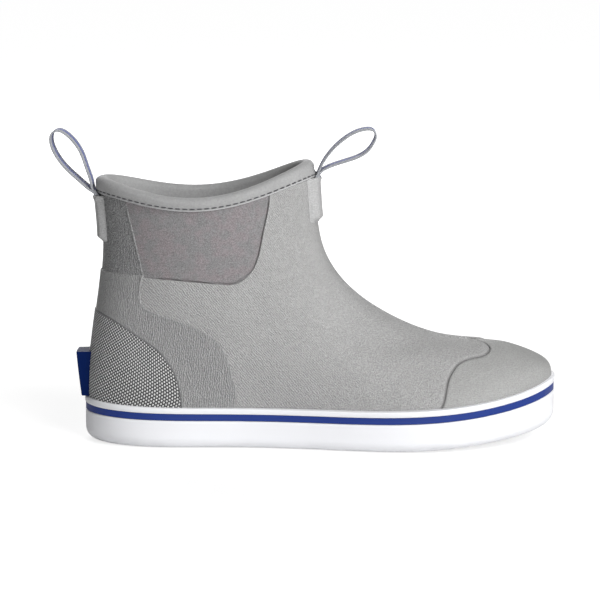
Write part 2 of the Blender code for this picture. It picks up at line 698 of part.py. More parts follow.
def make_pull(side, centre, width, length, outline, way, group):
    """One pull loop: its sewn tail, the patch that covers the tail, and the loop itself."""
    rim = np.array([centre])
    fold = level_below_rim(rim, BINDING_DROP)[0]
    face = skin(rim, np.array([fold]), 0)[0]
    pivot = face + np.array([way * PIVOT_OUT, 0, 0])
    top = level_below_rim(rim, BINDING_DROP + PIVOT_CLEAR)[0]
    bottom = level_below_rim(rim, BINDING_DROP + PIVOT_CLEAR + length)[0]
    rise = STRAP_RAMP * level_per_mm(centre, (top + bottom) / 2)
    per_mm = angle_per_mm(centre, (top + bottom) / 2)

    across = np.linspace(-0.5, 0.5, 5) * WEBBING_WIDTH * per_mm
    rows = np.linspace(bottom + TAIL_START * rise, top, 5)[:, None]
    tail = 2 * WEBBING
    block(side + "_loop_tail", centre + across + 0 * rows, rows + 0 * across,
          LAYER_GAP, LAYER_GAP + tail, "webbing", group)

    ramp = STRAP_RAMP + LAYER_GAP
    half = width / 2
    shelf = WEBBING_WIDTH / 2 + LAYER_GAP
    spots = np.array([-half, -shelf - ramp / 2, -shelf, -shelf / 2, 0,
                      shelf / 2, shelf, shelf + ramp / 2, half])
    edge = np.clip((half - np.abs(spots)) / (half - shelf), 0, 1)
    rows = np.array([bottom, bottom + rise / 2, bottom + rise, (bottom + top) / 2, top])[:, None]
    climb = np.clip((rows - bottom) / rise, 0, 1)
    lift = (tail + LAYER_GAP) * np.minimum(edge, climb)
    inner = LAYER_GAP + lift
    block(side + "_loop_patch", centre + spots * per_mm + 0 * rows, rows + 0 * spots,
          inner, inner + STRAP_SKIN, "grey_rubber", group)

    loop(side + "_pull_loop", pivot, outline, way, group)


def loop(name, pivot, outline, way, group):
    """A folded ribbon, turning on the line where it leaves its patch."""
    points = np.array(outline)
    run = np.concatenate([[0], np.linalg.norm(np.diff(points, axis=0), axis=1).cumsum()])
    path = spline_weights(run, np.linspace(0, run[-1], LOOP_STEPS)) @ points
    half = WEBBING_WIDTH / 2
    grid = np.array([[(way * out, y, up) for y in (-half, half)] for out, up in path])
    made = grid_object(name, grid, "webbing", group)
    made.location = Vector(pivot) * MM
    solid = made.modifiers.new("thickness", "SOLIDIFY")
    solid.thickness = WEBBING * MM
    solid.offset = 0


def stand_on_origin(group, cutters):
    """Moves the boot so that the origin is the middle of its footprint."""
    bpy.context.view_layer.update()
    graph = bpy.context.evaluated_depsgraph_get()
    corners = []
    for thing in group.objects:
        shown = thing.evaluated_get(graph)
        corners += [thing.matrix_world @ Vector(corner) for corner in shown.bound_box]
    corners = np.array(corners)
    low, high = corners.min(axis=0), corners.max(axis=0)
    shift = Vector(((low[0] + high[0]) / 2, (low[1] + high[1]) / 2, low[2]))
    for thing in list(group.objects) + list(cutters.objects):
        thing.location -= shift


def main():
    clear_scene()
    group = collection("deck_boot")
    cutters = collection("cutters")
    make_outsole(group)
    make_foxing(group)
    make_underfoot(group, cutters)
    make_shell(group)
    make_lining(group)
    make_gores(group)
    make_rear_panel(group)
    make_rear_overlay(group)
    make_counter(group)
    make_kick_tab(group)
    make_toe_cap(group)
    make_binding(group)
    make_pull("rear", math.pi, PATCH_WIDTH, PATCH_LENGTH, REAR_LOOP, -1, group)
    make_pull("front", 0.0, STRAP_WIDTH, STRAP_LENGTH, FRONT_LOOP, 1, group)
    stand_on_origin(group, cutters)


main()
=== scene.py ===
import math

import bmesh
import bpy
import numpy as np
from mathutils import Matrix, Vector
from mathutils.kdtree import KDTree


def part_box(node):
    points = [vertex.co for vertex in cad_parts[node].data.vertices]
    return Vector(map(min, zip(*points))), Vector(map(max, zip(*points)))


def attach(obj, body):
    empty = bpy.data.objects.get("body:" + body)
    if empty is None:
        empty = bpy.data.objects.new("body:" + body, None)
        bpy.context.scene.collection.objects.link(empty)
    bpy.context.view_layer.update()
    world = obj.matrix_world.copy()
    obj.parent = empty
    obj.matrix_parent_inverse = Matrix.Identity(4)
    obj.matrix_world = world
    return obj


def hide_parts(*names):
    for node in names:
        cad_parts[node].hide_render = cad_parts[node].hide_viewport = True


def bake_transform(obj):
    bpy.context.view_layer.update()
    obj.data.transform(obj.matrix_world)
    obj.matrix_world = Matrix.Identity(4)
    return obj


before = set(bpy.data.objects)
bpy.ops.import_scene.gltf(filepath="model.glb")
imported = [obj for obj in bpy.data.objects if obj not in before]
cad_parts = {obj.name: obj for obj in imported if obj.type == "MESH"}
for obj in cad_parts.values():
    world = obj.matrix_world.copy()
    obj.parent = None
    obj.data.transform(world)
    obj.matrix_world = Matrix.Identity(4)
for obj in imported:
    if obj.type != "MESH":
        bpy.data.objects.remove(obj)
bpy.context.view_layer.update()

mm = 0.001
turn = 2 * math.pi

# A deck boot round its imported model. Lengths are millimetres until a mesh is made. The upper's
# pieces are all laid on one surface, the last, at an angle round the boot and a level up it:
# angle 0 is the toe, pi the heel, and the lateral side lies between them; level 0 is the
# feather line and level 1 the collar's cut edge.

lastShape = {
    "length": 302.0,
    "height": 169.0,
    "ballWidth": 106.0,
    "toeTurn": 6.0,         # how far the toe turns to the medial side
    "feather": 10.0,
    "toeSpring": 9.0,
    "toeEase": 0.46,
    "springStart": 0.61,
    "reach": (60.0, 230.0),     # about how many mm a unit of angle and a unit of level are
    "shankCorner": (82.0, -8.0, 8.5),
    "stations": (0.0, 0.12, 0.28, 0.45, 0.60, 0.75, 0.88, 1.0),
    # level, toe end x and z, heel end x and z, lateness of the climb, dip, fullness each side
    "rings": (
        (0.00, 99.0, 0.0, 0.7, 0.0, 1.0, 0.0,
         (57.5, 47.6, 36.3, 35.8, 43.9, 52.8, 56.6, 60.4),
         (57.5, 47.6, 34.4, 29.2, 36.8, 50.5, 58.5, 60.4)),
        (0.10, 100.0, 13.0, 0.2, 8.3, 1.0, 0.0,
         (58.5, 48.6, 37.3, 36.8, 44.8, 53.8, 58.5, 64.2),
         (58.5, 48.6, 35.4, 31.1, 38.7, 51.4, 60.4, 64.2)),
        (0.20, 97.5, 20.4, 0.1, 13.6, 0.8, 0.0,
         (57.5, 49.1, 38.2, 36.8, 42.5, 48.6, 51.9, 64.2),
         (57.5, 49.1, 37.3, 34.0, 39.2, 48.1, 53.8, 64.2)),
        (0.32, 88.1, 28.0, 0.3, 20.1, 0.5, 0.0,
         (54.7, 46.7, 38.7, 36.8, 38.7, 40.1, 39.6, 41.5),
         (54.7, 46.7, 38.2, 35.4, 37.3, 40.6, 41.5, 41.5)),
        (0.46, 75.5, 33.0, 0.9, 29.6, 0.2, 0.0,
         (49.1, 43.4, 38.2, 36.3, 35.8, 35.4, 34.0, 34.0),
         (49.1, 43.4, 38.2, 35.8, 35.8, 36.3, 35.4, 34.0)),
        (0.60, 61.8, 45.1, 1.9, 42.6, 0.0, 0.0,
         (42.5, 39.2, 36.8, 35.4, 34.4, 33.5, 33.0, 34.0),
         (42.5, 39.2, 36.8, 35.4, 34.4, 33.5, 33.0, 34.0)),
        (0.78, 51.9, 63.3, 3.4, 63.9, 0.0, 0.0,
         (36.8, 36.3, 36.3, 35.4, 34.4, 33.5, 33.0, 34.0),
         (36.8, 36.3, 36.3, 35.4, 34.4, 33.5, 33.0, 34.0)),
        (0.90, 49.5, 78.7, 3.4, 78.7, 0.0, 4.0,
         (36.8, 36.8, 36.8, 36.3, 35.4, 34.4, 34.4, 35.8),
         (36.8, 36.8, 36.8, 36.3, 35.4, 34.4, 34.4, 35.8)),
        (1.00, 48.7, 100.0, 2.6, 93.8, 0.0, 13.0,
         (37.7, 37.7, 37.7, 37.3, 36.8, 36.3, 36.8, 38.7),
         (37.7, 37.7, 37.7, 37.3, 36.8, 36.3, 36.8, 38.7)),
    ),
}

ringLevels = [ring[0] for ring in lastShape["rings"]]
ringEnds = np.array([ring[1:7] for ring in lastShape["rings"]], float)
lateralFullness = np.array([ring[7] for ring in lastShape["rings"]], float)
medialFullness = np.array([ring[8] for ring in lastShape["rings"]], float)
lastOrigin = np.array(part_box("shank")[0]) / mm - np.array(lastShape["shankCorner"])


def splineWeights(knots, places):
    # rows that turn the values at the knots into a natural cubic's values at the places
    knots = np.asarray(knots, float)
    places = np.asarray(places, float)
    count = len(knots)
    step = np.diff(knots)
    left = np.eye(count)
    right = np.zeros((count, count))
    for i in range(1, count - 1):
        left[i, i - 1:i + 2] = step[i - 1], 2 * (step[i - 1] + step[i]), step[i]
        right[i, i - 1:i + 2] = 6 / step[i - 1], -6 / step[i - 1] - 6 / step[i], 6 / step[i]
    bend = np.linalg.solve(left, right)
    at = np.clip(np.searchsorted(knots, places) - 1, 0, count - 2)
    size = step[at]
    a = (knots[at + 1] - places) / size
    b = (places - knots[at]) / size
    weights = ((a**3 - a) * size**2 / 6)[:, None] * bend[at]
    weights += ((b**3 - b) * size**2 / 6)[:, None] * bend[at + 1]
    rows = np.arange(len(places))
    weights[rows, at] += a
    weights[rows, at + 1] += b
    return weights


def middleLine(x):
    half = lastShape["length"] / 2
    return lastShape["toeTurn"] * np.clip((x - half) / half, 0, None)**2


def lastPoints(angle, level):
    angle, level = np.broadcast_arrays(np.asarray(angle, float), np.asarray(level, float))
    shape = angle.shape
    angle, level = angle.ravel(), np.clip(level.ravel(), 0, 1)
    across = splineWeights(ringLevels, level)
    toeX, toeZ, heelX, heelZ, late, dip = (across @ ringEnds).T
    share = (1 + np.cos(angle)) / 2
    along = splineWeights(lastShape["stations"], share)
    lateral = (across @ lateralFullness * along).sum(axis=1)
    medial = (across @ medialFullness * along).sum(axis=1)
    fullness = np.where(np.sin(angle) >= 0, lateral, medial) * lastShape["ballWidth"] / 100
    x = (heelX + (toeX - heelX) * share) * lastShape["length"] / 100
    climb = (1 - late) * share + late * share**5
    lift = lastShape["toeSpring"] + lastShape["toeEase"]
    rise = (toeZ - heelZ) * lastShape["height"] / 100 + late * lift
    z = lastShape["feather"] + heelZ * lastShape["height"] / 100 + rise * climb
    z -= dip * np.abs(np.sin(angle))**3
    y = middleLine(x) - fullness * np.sin(angle)
    return np.stack([x, y, z], axis=-1).reshape(shape + (3,))


def unit(vectors):
    return vectors / np.maximum(np.linalg.norm(vectors, axis=-1, keepdims=True), 1e-9)


def outward(angle, level):
    step = 0.004
    level = np.clip(level, step, 1 - step)
    roundWay = lastPoints(angle + step, level) - lastPoints(angle - step, level)
    upWay = lastPoints(angle, level + step) - lastPoints(angle, level - step)
    return unit(np.cross(upWay, roundWay))


def skin(angle, level, offset):
    angle, level = np.broadcast_arrays(np.asarray(angle, float), np.asarray(level, float))
    offset = np.broadcast_to(np.asarray(offset, float), angle.shape)
    return lastPoints(angle, level) + outward(angle, level) * offset[..., None]


def levelAtHeight(angle, z):
    levels = np.linspace(0, 0.45, 91)
    heights = lastPoints(np.asarray(angle)[:, None], levels[None, :])[..., 2]
    z = np.broadcast_to(z, (len(angle),))
    return np.array([np.interp(z[i], heights[i], levels) for i in range(len(angle))])


def levelBelowRim(angle, drop):
    # one level for each angle, at a distance down from the collar's cut edge
    levels = np.linspace(1, 0.6, 61)
    points = lastPoints(np.asarray(angle)[:, None], levels[None, :])
    run = np.linalg.norm(np.diff(points, axis=1), axis=2).cumsum(axis=1)
    run = np.concatenate([np.zeros((len(run), 1)), run], axis=1)
    drop = np.broadcast_to(drop, (len(run),))
    return np.array([np.interp(drop[i], run[i], levels) for i in range(len(run))])


def anglePerMm(angle, level):
    step = 0.01
    ends = lastPoints(np.array([angle - step, angle + step]), np.array([level, level]))
    return 2 * step / np.linalg.norm(ends[1] - ends[0])


def levelPerMm(angle, level):
    step = 0.01
    low = np.clip(np.asarray(level, float), step, 1 - step)
    run = lastPoints(angle, low + step) - lastPoints(angle, low - step)
    return 2 * step / np.linalg.norm(run, axis=-1)


def smoothStep(low, high, values):
    share = np.clip((values - low) / (high - low), 0, 1)
    return share * share * (3 - 2 * share)


def smoothOutline(points, spacing):
    # evenly spaced angles and levels on a smooth curve through an outline's points
    points = np.array(points, float)
    reach = points * lastShape["reach"]
    run = np.concatenate([[0], np.linalg.norm(np.diff(reach, axis=0), axis=1).cumsum()])
    places = np.linspace(0, run[-1], int(run[-1] / spacing) + 2)
    return (splineWeights(run, places) @ points).T


def mirrored(angles):
    return np.where(angles > math.pi, turn - angles, angles)


def edgedShares(length, step, radius, low=True, high=True):
    # shares of a run, close together where its ends are rounded
    fine = radius * np.array((0, 0.1, 0.26, 0.5, 0.8, 1.15)) / length
    start = fine if low else np.zeros(1)
    end = 1 - fine[::-1] if high else np.ones(1)
    count = max(int((end[0] - start[-1]) * length / step), 1)
    return np.concatenate([start, np.linspace(start[-1], end[0], count + 1)[1:-1], end])


def rounded(distance, radius):
    # 0 at an edge and 1 a radius away from it, as a quarter circle
    return np.sqrt(np.clip(1 - (1 - np.clip(distance / radius, 0, 1))**2, 0, 1))


def distanceTo(curve, points):
    tree = KDTree(len(curve))
    for i, point in enumerate(curve):
        tree.insert(point, i)
    tree.balance()
    flat = points.reshape(-1, 3)
    found = np.array([tree.find(point)[2] for point in flat])
    return found.reshape(points.shape[:-1])


def runAlong(points, axis):
    # distance along a grid's rows or columns, from its first point
    steps = np.linalg.norm(np.diff(points, axis=axis), axis=2)
    start = np.zeros_like(np.take(steps, [0], axis=axis))
    return np.concatenate([start, steps.cumsum(axis=axis)], axis=axis)


# Shader nodes: a Wire is one output socket, and arithmetic on it adds Math nodes.
class Wire:
    def __init__(self, shading, socket):
        self.shading = shading
        self.socket = socket

    def maths(self, operation, first, second):
        return self.shading.node("ShaderNodeMath", {"operation": operation},
                                 {0: first, 1: second})

    def __add__(self, other):
        return self.maths("ADD", self, other)

    def __radd__(self, other):
        return self.maths("ADD", other, self)

    def __sub__(self, other):
        return self.maths("SUBTRACT", self, other)

    def __rsub__(self, other):
        return self.maths("SUBTRACT", other, self)

    def __mul__(self, other):
        return self.maths("MULTIPLY", self, other)

    def __rmul__(self, other):
        return self.maths("MULTIPLY", other, self)


class Shading:
    # the nodes of a material or of the world
    def __init__(self, owner):
        owner.use_nodes = True
        self.tree = owner.node_tree

    def node(self, kind, settings, sockets, output=0):
        made = self.tree.nodes.new(kind)
        for name, value in settings.items():
            setattr(made, name, value)
        for name, value in sockets.items():
            self.plug(value, made.inputs[name])
        return Wire(self, made.outputs[output])

    def plug(self, value, socket):
        if isinstance(value, Wire):
            self.tree.links.new(value.socket, socket)
        elif socket.type == "RGBA" and len(value) == 3:
            socket.default_value = (*value, 1.0)
        else:
            socket.default_value = value


class Finish(Shading):
    # a material with one Principled shader
    def __init__(self, name, roughness, **constants):
        self.material = bpy.data.materials.new(name)
        super().__init__(self.material)
        self.shader = self.tree.nodes["Principled BSDF"]
        self.shader.inputs["Roughness"].default_value = roughness
        for socket, value in constants.items():
            self.shader.inputs[socket.replace("_", " ")].default_value = value

    def set(self, name, value):
        self.plug(value, self.shader.inputs[name])

    def place(self):
        # millimetres in the boot's own frame
        point = self.node("ShaderNodeTexCoord", {}, {}, "Object")
        return self.node("ShaderNodeVectorMath", {"operation": "SCALE"},
                         {0: point, "Scale": 1 / mm}, "Vector")

    def weave(self):
        # kept on a piece's points: millimetres along and across webbing, turns of the studs'
        # waves, or the painted shade in a groove
        return self.node("ShaderNodeAttribute", {"attribute_name": "weave"}, {}, "Vector")

    def part(self, vector, axis):
        return self.node("ShaderNodeSeparateXYZ", {}, {"Vector": vector}, axis)

    def along(self, vector, way):
        return self.node("ShaderNodeVectorMath", {"operation": "DOT_PRODUCT"},
                         {0: vector, 1: way}, "Value")

    def noise(self, vector, size, detail=2.0, roughness=0.5):
        return self.node("ShaderNodeTexNoise", {},
                         {"Vector": vector, "Scale": 1 / size, "Detail": detail,
                          "Roughness": roughness}, "Fac")

    def streaks(self, vector, tilt, width, stretch):
        # noise drawn out along lines that lean by an angle from level, in the side view
        lean = math.radians(tilt)
        alongLine = self.along(vector, (math.cos(lean), 0.25, math.sin(lean)))
        acrossLine = self.along(vector, (-math.sin(lean), 0.0, math.cos(lean)))
        depth = self.part(vector, "Y")
        place = self.node("ShaderNodeCombineXYZ", {},
                          {"X": alongLine * (1 / stretch), "Y": acrossLine,
                           "Z": depth * 0.5}, "Vector")
        return self.noise(place, width, detail=1.5)

    def lines(self, vector, tilt, period, waver):
        # fine parallel lines that lean by an angle from level and waver a little
        lean = math.radians(tilt)
        across = self.along(vector, (-math.sin(lean), 0.5, math.cos(lean)))
        drift = self.noise(vector, 2.2, detail=1.0) * waver
        return self.ripple(across + drift, period) * 0.5 + 0.5

    def ripple(self, value, period):
        return self.node("ShaderNodeMath", {"operation": "SINE"}, {0: value * (turn / period)})

    def between(self, low, high, value):
        return self.node("ShaderNodeMapRange", {"interpolation_type": "SMOOTHSTEP"},
                         {"Value": value, "From Min": low, "From Max": high}, "Result")

    def mix(self, share, first, second):
        return self.node("ShaderNodeMix", {"data_type": "RGBA"},
                         {"Factor": share, 6: first, 7: second}, 2)

    def bump(self, height, depth):
        # depth is the millimetres that a height of 1 stands for
        self.set("Normal", self.node("ShaderNodeBump", {},
                                     {"Height": height, "Distance": depth * mm,
                                      "Strength": 1.0}, "Normal"))


def lighter(colour, factor):
    return tuple(min(c * factor, 1.0) for c in colour)


rubberLook = {
    "roughness": 0.52,
    "specular": 0.32,
    # lean of the lines, their period, how far they waver, the depths of lines and pebbling, and
    # how much darker the low places are painted: painted shade in the grain's hollows
    "quarter": {"tilt": -49.0, "period": 1.3, "waver": 1.9, "lines": 0.20, "pebble": 0.23,
                "dark": 0.9},
    "vamp": {"tilt": 24.0, "period": 1.4, "waver": 4.5, "lines": 0.12, "pebble": 0.27,
             "dark": 0.8},
    "grain": {"tilt": 84.0, "period": 1.45, "waver": 2.6, "lines": 0.32, "pebble": 0.24,
              "dark": 1.1},
    "leather": {"tilt": 84.0, "period": 1.7, "waver": 4.2, "lines": 0.40, "pebble": 0.50,
                "dark": 1.7},
    "toe": {"tilt": 6.0, "period": 1.3, "waver": 2.6, "lines": 0.08, "pebble": 0.15,
            "dark": 0.6},
}


def grainHeight(finish, point, look):
    lines = finish.lines(point, look["tilt"], look["period"], look["waver"])
    pebble = finish.between(0.3, 0.7, finish.noise(point, 0.9, detail=1.0))
    height = lines * look["lines"] + pebble * look["pebble"]
    # painted shade: the grain's low places are coloured darker
    hollowShade = (height * (1 / (look["lines"] + look["pebble"])) - 0.5) * look["dark"]
    return height, hollowShade


def rubber(name, colour, *grains, change=None, spread=0.34):
    # moulded rubber with one embossed grain, or two that meet where change says, along x
    finish = Finish(name, rubberLook["roughness"], Specular_IOR_Level=rubberLook["specular"])
    point = finish.place()
    height, hollowShade = grainHeight(finish, point, rubberLook[grains[0]])
    if change:
        other, otherHollowShade = grainHeight(finish, point, rubberLook[grains[1]])
        share = finish.between(change[0], change[1], finish.part(point, "X"))
        height = height * (1 - share) + other * share
        hollowShade = hollowShade * (1 - share) + otherHollowShade * share
    cloud = finish.noise(point, 26.0, detail=3.0)
    shade = (cloud - 0.5) * spread + hollowShade + 0.5
    skinTone = finish.mix(shade, lighter(colour, 0.76), lighter(colour, 1.24))
    # painted shade: the colour turns darker in the groove at the toe cap's edge, where shade
    # falls
    grooveShade = finish.part(finish.weave(), "X")       # kept on the points beside a groove
    finish.set("Base Color", finish.mix(grooveShade, skinTone, lighter(colour, 0.42)))
    finish.bump(height, 1.0)
    finish.set("Roughness", cloud * 0.16 + (rubberLook["roughness"] - 0.08))
    return finish.material


def smoothRubber(name, colour, roughness, spread=0.25, specular=0.28):
    # a slow cloudy change of shade, and a fine speckle over it
    finish = Finish(name, roughness, Specular_IOR_Level=specular)
    point = finish.place()
    cloud = finish.noise(point, 34.0, detail=3.0)
    speck = finish.noise(point, 0.9, detail=1.0)
    shade = (cloud - 0.5) * spread + (speck - 0.5) * (spread * 0.8) + 0.5
    finish.set("Base Color", finish.mix(shade, lighter(colour, 0.78), lighter(colour, 1.22)))
    skinHeight = finish.noise(point, 0.7, detail=2.0) * 0.03 + cloud * 0.08
    finish.bump(skinHeight, 1.0)
    finish.set("Roughness", cloud * 0.2 + (roughness - 0.1))
    return finish.material


counterShape = {
    "grid": 0.49,
    "height": 60.0,
    "middle": 0.35,
    "firstWave": (0.294, -0.556),       # turns of the studs' waves for a mm forward and up
    "secondWave": (-0.407, -0.315),
    "stud": 0.42,
    "rim": 0.9,
    # where the plain rim sits between the painted shade and the painted highlight
    "rimTone": 0.24,
    "rimHeight": 0.25,
    "full": 1.25,
    "ground": 0.15,         # how far the ground between the studs lies below the full height
    "wall": 1.0,
    "inner": 0.9,
    "radius": 0.5,
}


# painted shade on the ground between the studs and painted highlight on their tops
studLook = {
    "ground": (0.045, 0.045, 0.047),
    "litTops": (0.66, 0.66, 0.66),
    "turnsPale": (0.1, 0.66),           # heights at which a stud starts and ends turning pale
    "cloud": 0.12,
    "depth": 0.3,
    "grain": 0.04,
}


def studdedRubber():
    # the studs' tops are painted pale and the ground between them dark: a painted highlight on
    # the tops and painted shade between the studs
    finish = Finish("counter_rubber", 0.5, Specular_IOR_Level=0.35)
    point = finish.place()
    lay = finish.weave()
    first, second, face = (finish.part(lay, axis) for axis in "XYZ")
    waves = [finish.ripple(turns + 0.25, 1.0) for turns in (first, second, first - second)]
    stud = (waves[0] + waves[1] + waves[2]) * (2 / 9) + 1 / 3
    # the plain rim takes a middle tone of the same painted shade and highlight
    stud = stud * face + (1 - face) * counterShape["rimTone"]
    cloud = finish.noise(point, 24.0, detail=2.0)
    shade = finish.between(*studLook["turnsPale"], stud + (cloud - 0.5) * studLook["cloud"])
    finish.set("Base Color", finish.mix(shade, studLook["ground"], studLook["litTops"]))
    grain = finish.noise(point, 0.5, detail=1.0) * studLook["grain"]
    finish.bump(stud * studLook["depth"] + grain, 1.0)
    return finish.material


soleLook = {
    "colour": (0.84, 0.845, 0.87),
    "greyedTo": 9.0,          # height up to which the white has greyed
    "patches": (0.38, 0.75),
    "greyedLow": 0.5,
}


def soleRubber():
    # white rubber that greys a little towards the ground
    colour = soleLook["colour"]
    finish = Finish("white_rubber", 0.42, Specular_IOR_Level=0.4)
    point = finish.place()
    cloud = finish.noise(point, 30.0, detail=4.0)
    low = 1 - finish.between(0.0, soleLook["greyedTo"], finish.part(point, "Z"))
    greyedLow = low * finish.between(*soleLook["patches"], cloud) * soleLook["greyedLow"]
    finish.set("Base Color", finish.mix(greyedLow, colour, lighter(colour, 0.74)))
    finish.bump(finish.noise(point, 0.8, detail=2.0) * 0.025 + cloud * 0.05, 1.0)
    finish.set("Roughness", cloud * 0.2 + 0.32)
    return finish.material


goreLook = {
    "yarn": 0.9,            # millimetres from yarn to yarn, and from course to course
    "course": 0.62,
    "light": ((0.305, 0.300, 0.304), (0.336, 0.302, 0.312)),    # grey yarns, then pink ones
    "dark": ((0.158, 0.156, 0.158), (0.178, 0.160, 0.165)),
}


def goreFabric():
    # ribbed elastic with a heather of pink and grey yarns
    finish = Finish("gore_fabric", 0.9, Sheen_Weight=0.2, Specular_IOR_Level=0.2)
    point = finish.place()
    wander = finish.noise(point, 3.0) * 0.5
    yarn = finish.ripple(finish.part(point, "X") + wander, goreLook["yarn"])
    course = finish.ripple(finish.part(point, "Z") + wander * 0.6, goreLook["course"])
    heather = finish.noise(point, 0.62, detail=3.0, roughness=0.75)
    patch = finish.between(0.40, 0.64, finish.noise(point, 8.0, detail=4.0, roughness=0.6))
    light = finish.mix(patch, *goreLook["light"])
    dark = finish.mix(patch, *goreLook["dark"])
    finish.set("Base Color", finish.mix(finish.between(0.34, 0.66, heather), dark, light))
    finish.bump(yarn * course * 0.05 + heather * 0.2, 1.0)
    return finish.material


def knit(name, colour, pitch, depth, roughness=0.92, spread=0.5):
    # fine knitted cloth, its courses a pitch apart in every direction
    finish = Finish(name, roughness, Sheen_Weight=0.3, Specular_IOR_Level=0.2)
    point = finish.place()
    fuzz = finish.noise(point, pitch * 1.4, detail=3.0, roughness=0.65)
    loops = finish.node("ShaderNodeTexVoronoi", {"feature": "F1"},
                        {"Vector": point, "Scale": 1 / pitch}, "Distance")
    cloud = finish.noise(point, 22.0, detail=2.0)
    shade = (fuzz - 0.5) * spread + (cloud - 0.5) * 0.4 + 0.5
    finish.set("Base Color", finish.mix(shade, lighter(colour, 0.74), lighter(colour, 1.24)))
    finish.bump((1 - loops) * 0.5 + fuzz * 0.5, depth)
    return finish.material


webbingLook = {
    "grey": (0.36, 0.37, 0.395),
    "blue": (0.035, 0.062, 0.30),
    "band": 3.9,        # half width of the blue band
    "bandEdge": 0.3,
    "rib": 0.8,
    "warp": 1.1,
}


def webbingFabric():
    finish = Finish("webbing", 0.78, Sheen_Weight=0.3, Specular_IOR_Level=0.25)
    lay = finish.weave()
    along = finish.part(lay, "X")
    across = finish.part(lay, "Y")
    side = finish.node("ShaderNodeMath", {"operation": "ABSOLUTE"}, {0: across})
    rib = finish.ripple(along, webbingLook["rib"])
    warp = finish.ripple(across + rib * 0.08, webbingLook["warp"])
    soft = webbingLook["bandEdge"]
    band = 1 - finish.between(webbingLook["band"] - soft, webbingLook["band"] + soft,
                              side + rib * 0.22)
    fibre = finish.noise(lay, 0.6, detail=2.0)
    grey = finish.mix(fibre, lighter(webbingLook["grey"], 0.6),
                      lighter(webbingLook["grey"], 1.35))
    blue = finish.mix(fibre, lighter(webbingLook["blue"], 0.7),
                      lighter(webbingLook["blue"], 1.5))
    finish.set("Base Color", finish.mix(band, grey, blue))
    finish.bump(rib * 0.06 + warp * rib * 0.05 + fibre * 0.06, 1.0)
    return finish.material


def foamFinish(colour, cell):
    finish = Finish("foam", 0.9)
    point = finish.place()
    cells = finish.node("ShaderNodeTexVoronoi", {"feature": "F1"},
                        {"Vector": point, "Scale": 1 / cell}, "Distance")
    finish.set("Base Color", finish.mix(cells, lighter(colour, 1.5), lighter(colour, 0.6)))
    finish.bump(cells, 0.2)
    return finish.material


def fibreFinish(name, colour, tilt, roughness):
    # board or glass fibre: fibres lie one way
    finish = Finish(name, roughness)
    point = finish.place()
    fibres = finish.streaks(point, tilt, 0.5, 12.0)
    finish.set("Base Color", finish.mix(fibres, lighter(colour, 0.7), lighter(colour, 1.3)))
    finish.bump(fibres, 0.1)
    return finish.material


def threadFinish(colour, twist):
    finish = Finish("thread", 0.7, Sheen_Weight=0.2)
    point = finish.place()
    ply = finish.ripple(finish.along(point, (1.0, 0.7, 1.3)), twist)
    # painted highlight and shade: the plies' crowns are coloured lighter and the grooves between
    # them darker
    finish.set("Base Color", finish.mix(ply * 0.5 + 0.5, lighter(colour, 0.7),
                                        lighter(colour, 1.8)))
    finish.bump(ply, 0.08)
    return finish.material


finishes = {
    "white": soleRubber(),
    "blue": smoothRubber("blue_rubber", (0.013, 0.037, 0.215), 0.45),
    # painted shade: the stripe's blue rubber made darker for the kick tab, which faces the back
    "kick": smoothRubber("kick_shaded_blue_rubber", (0.0025, 0.013, 0.082), 0.6, specular=0.04),
    "upper": rubber("grey_rubber", (0.365, 0.363, 0.361), "quarter", "vamp",
                    change=(-10.0, 50.0)),
    "toe": rubber("toe_rubber", (0.345, 0.345, 0.340), "toe"),
    # partly the rubber's own grey, partly painted shade: the overlay and the rear shaft are
    # coloured darker because they face the back
    "overlay": rubber("overlay_rubber", (0.312, 0.312, 0.312), "grain"),
    "shaft": rubber("shaft_rubber", (0.272, 0.272, 0.274), "leather"),
    # partly the rubber's own paler grey, partly painted light: made lighter so that the rear
    # patch's roll looks lit
    "patch": rubber("patch_rubber", (0.42, 0.42, 0.42), "toe"),
    "counter": studdedRubber(),
    "gore": goreFabric(),
    "binding": knit("binding_fabric", (0.350, 0.350, 0.350), 1.0, 0.28, spread=0.9),
    "lining": knit("lining_fabric", (0.30, 0.30, 0.30), 1.1, 0.3, spread=0.7),
    "welt": knit("welt_fabric", (0.46, 0.46, 0.465), 0.5, 0.05),
    "webbing": webbingFabric(),
    "foam": foamFinish((0.10, 0.11, 0.13), 0.8),
    "board": fibreFinish("board", (0.42, 0.33, 0.22), 0.0, 0.85),
    "glass": fibreFinish("glass_fibre", (0.46, 0.43, 0.28), 0.0, 0.4),
    "thread": threadFinish((0.045, 0.045, 0.05), 0.5),
}
print("finishes:", len(finishes))


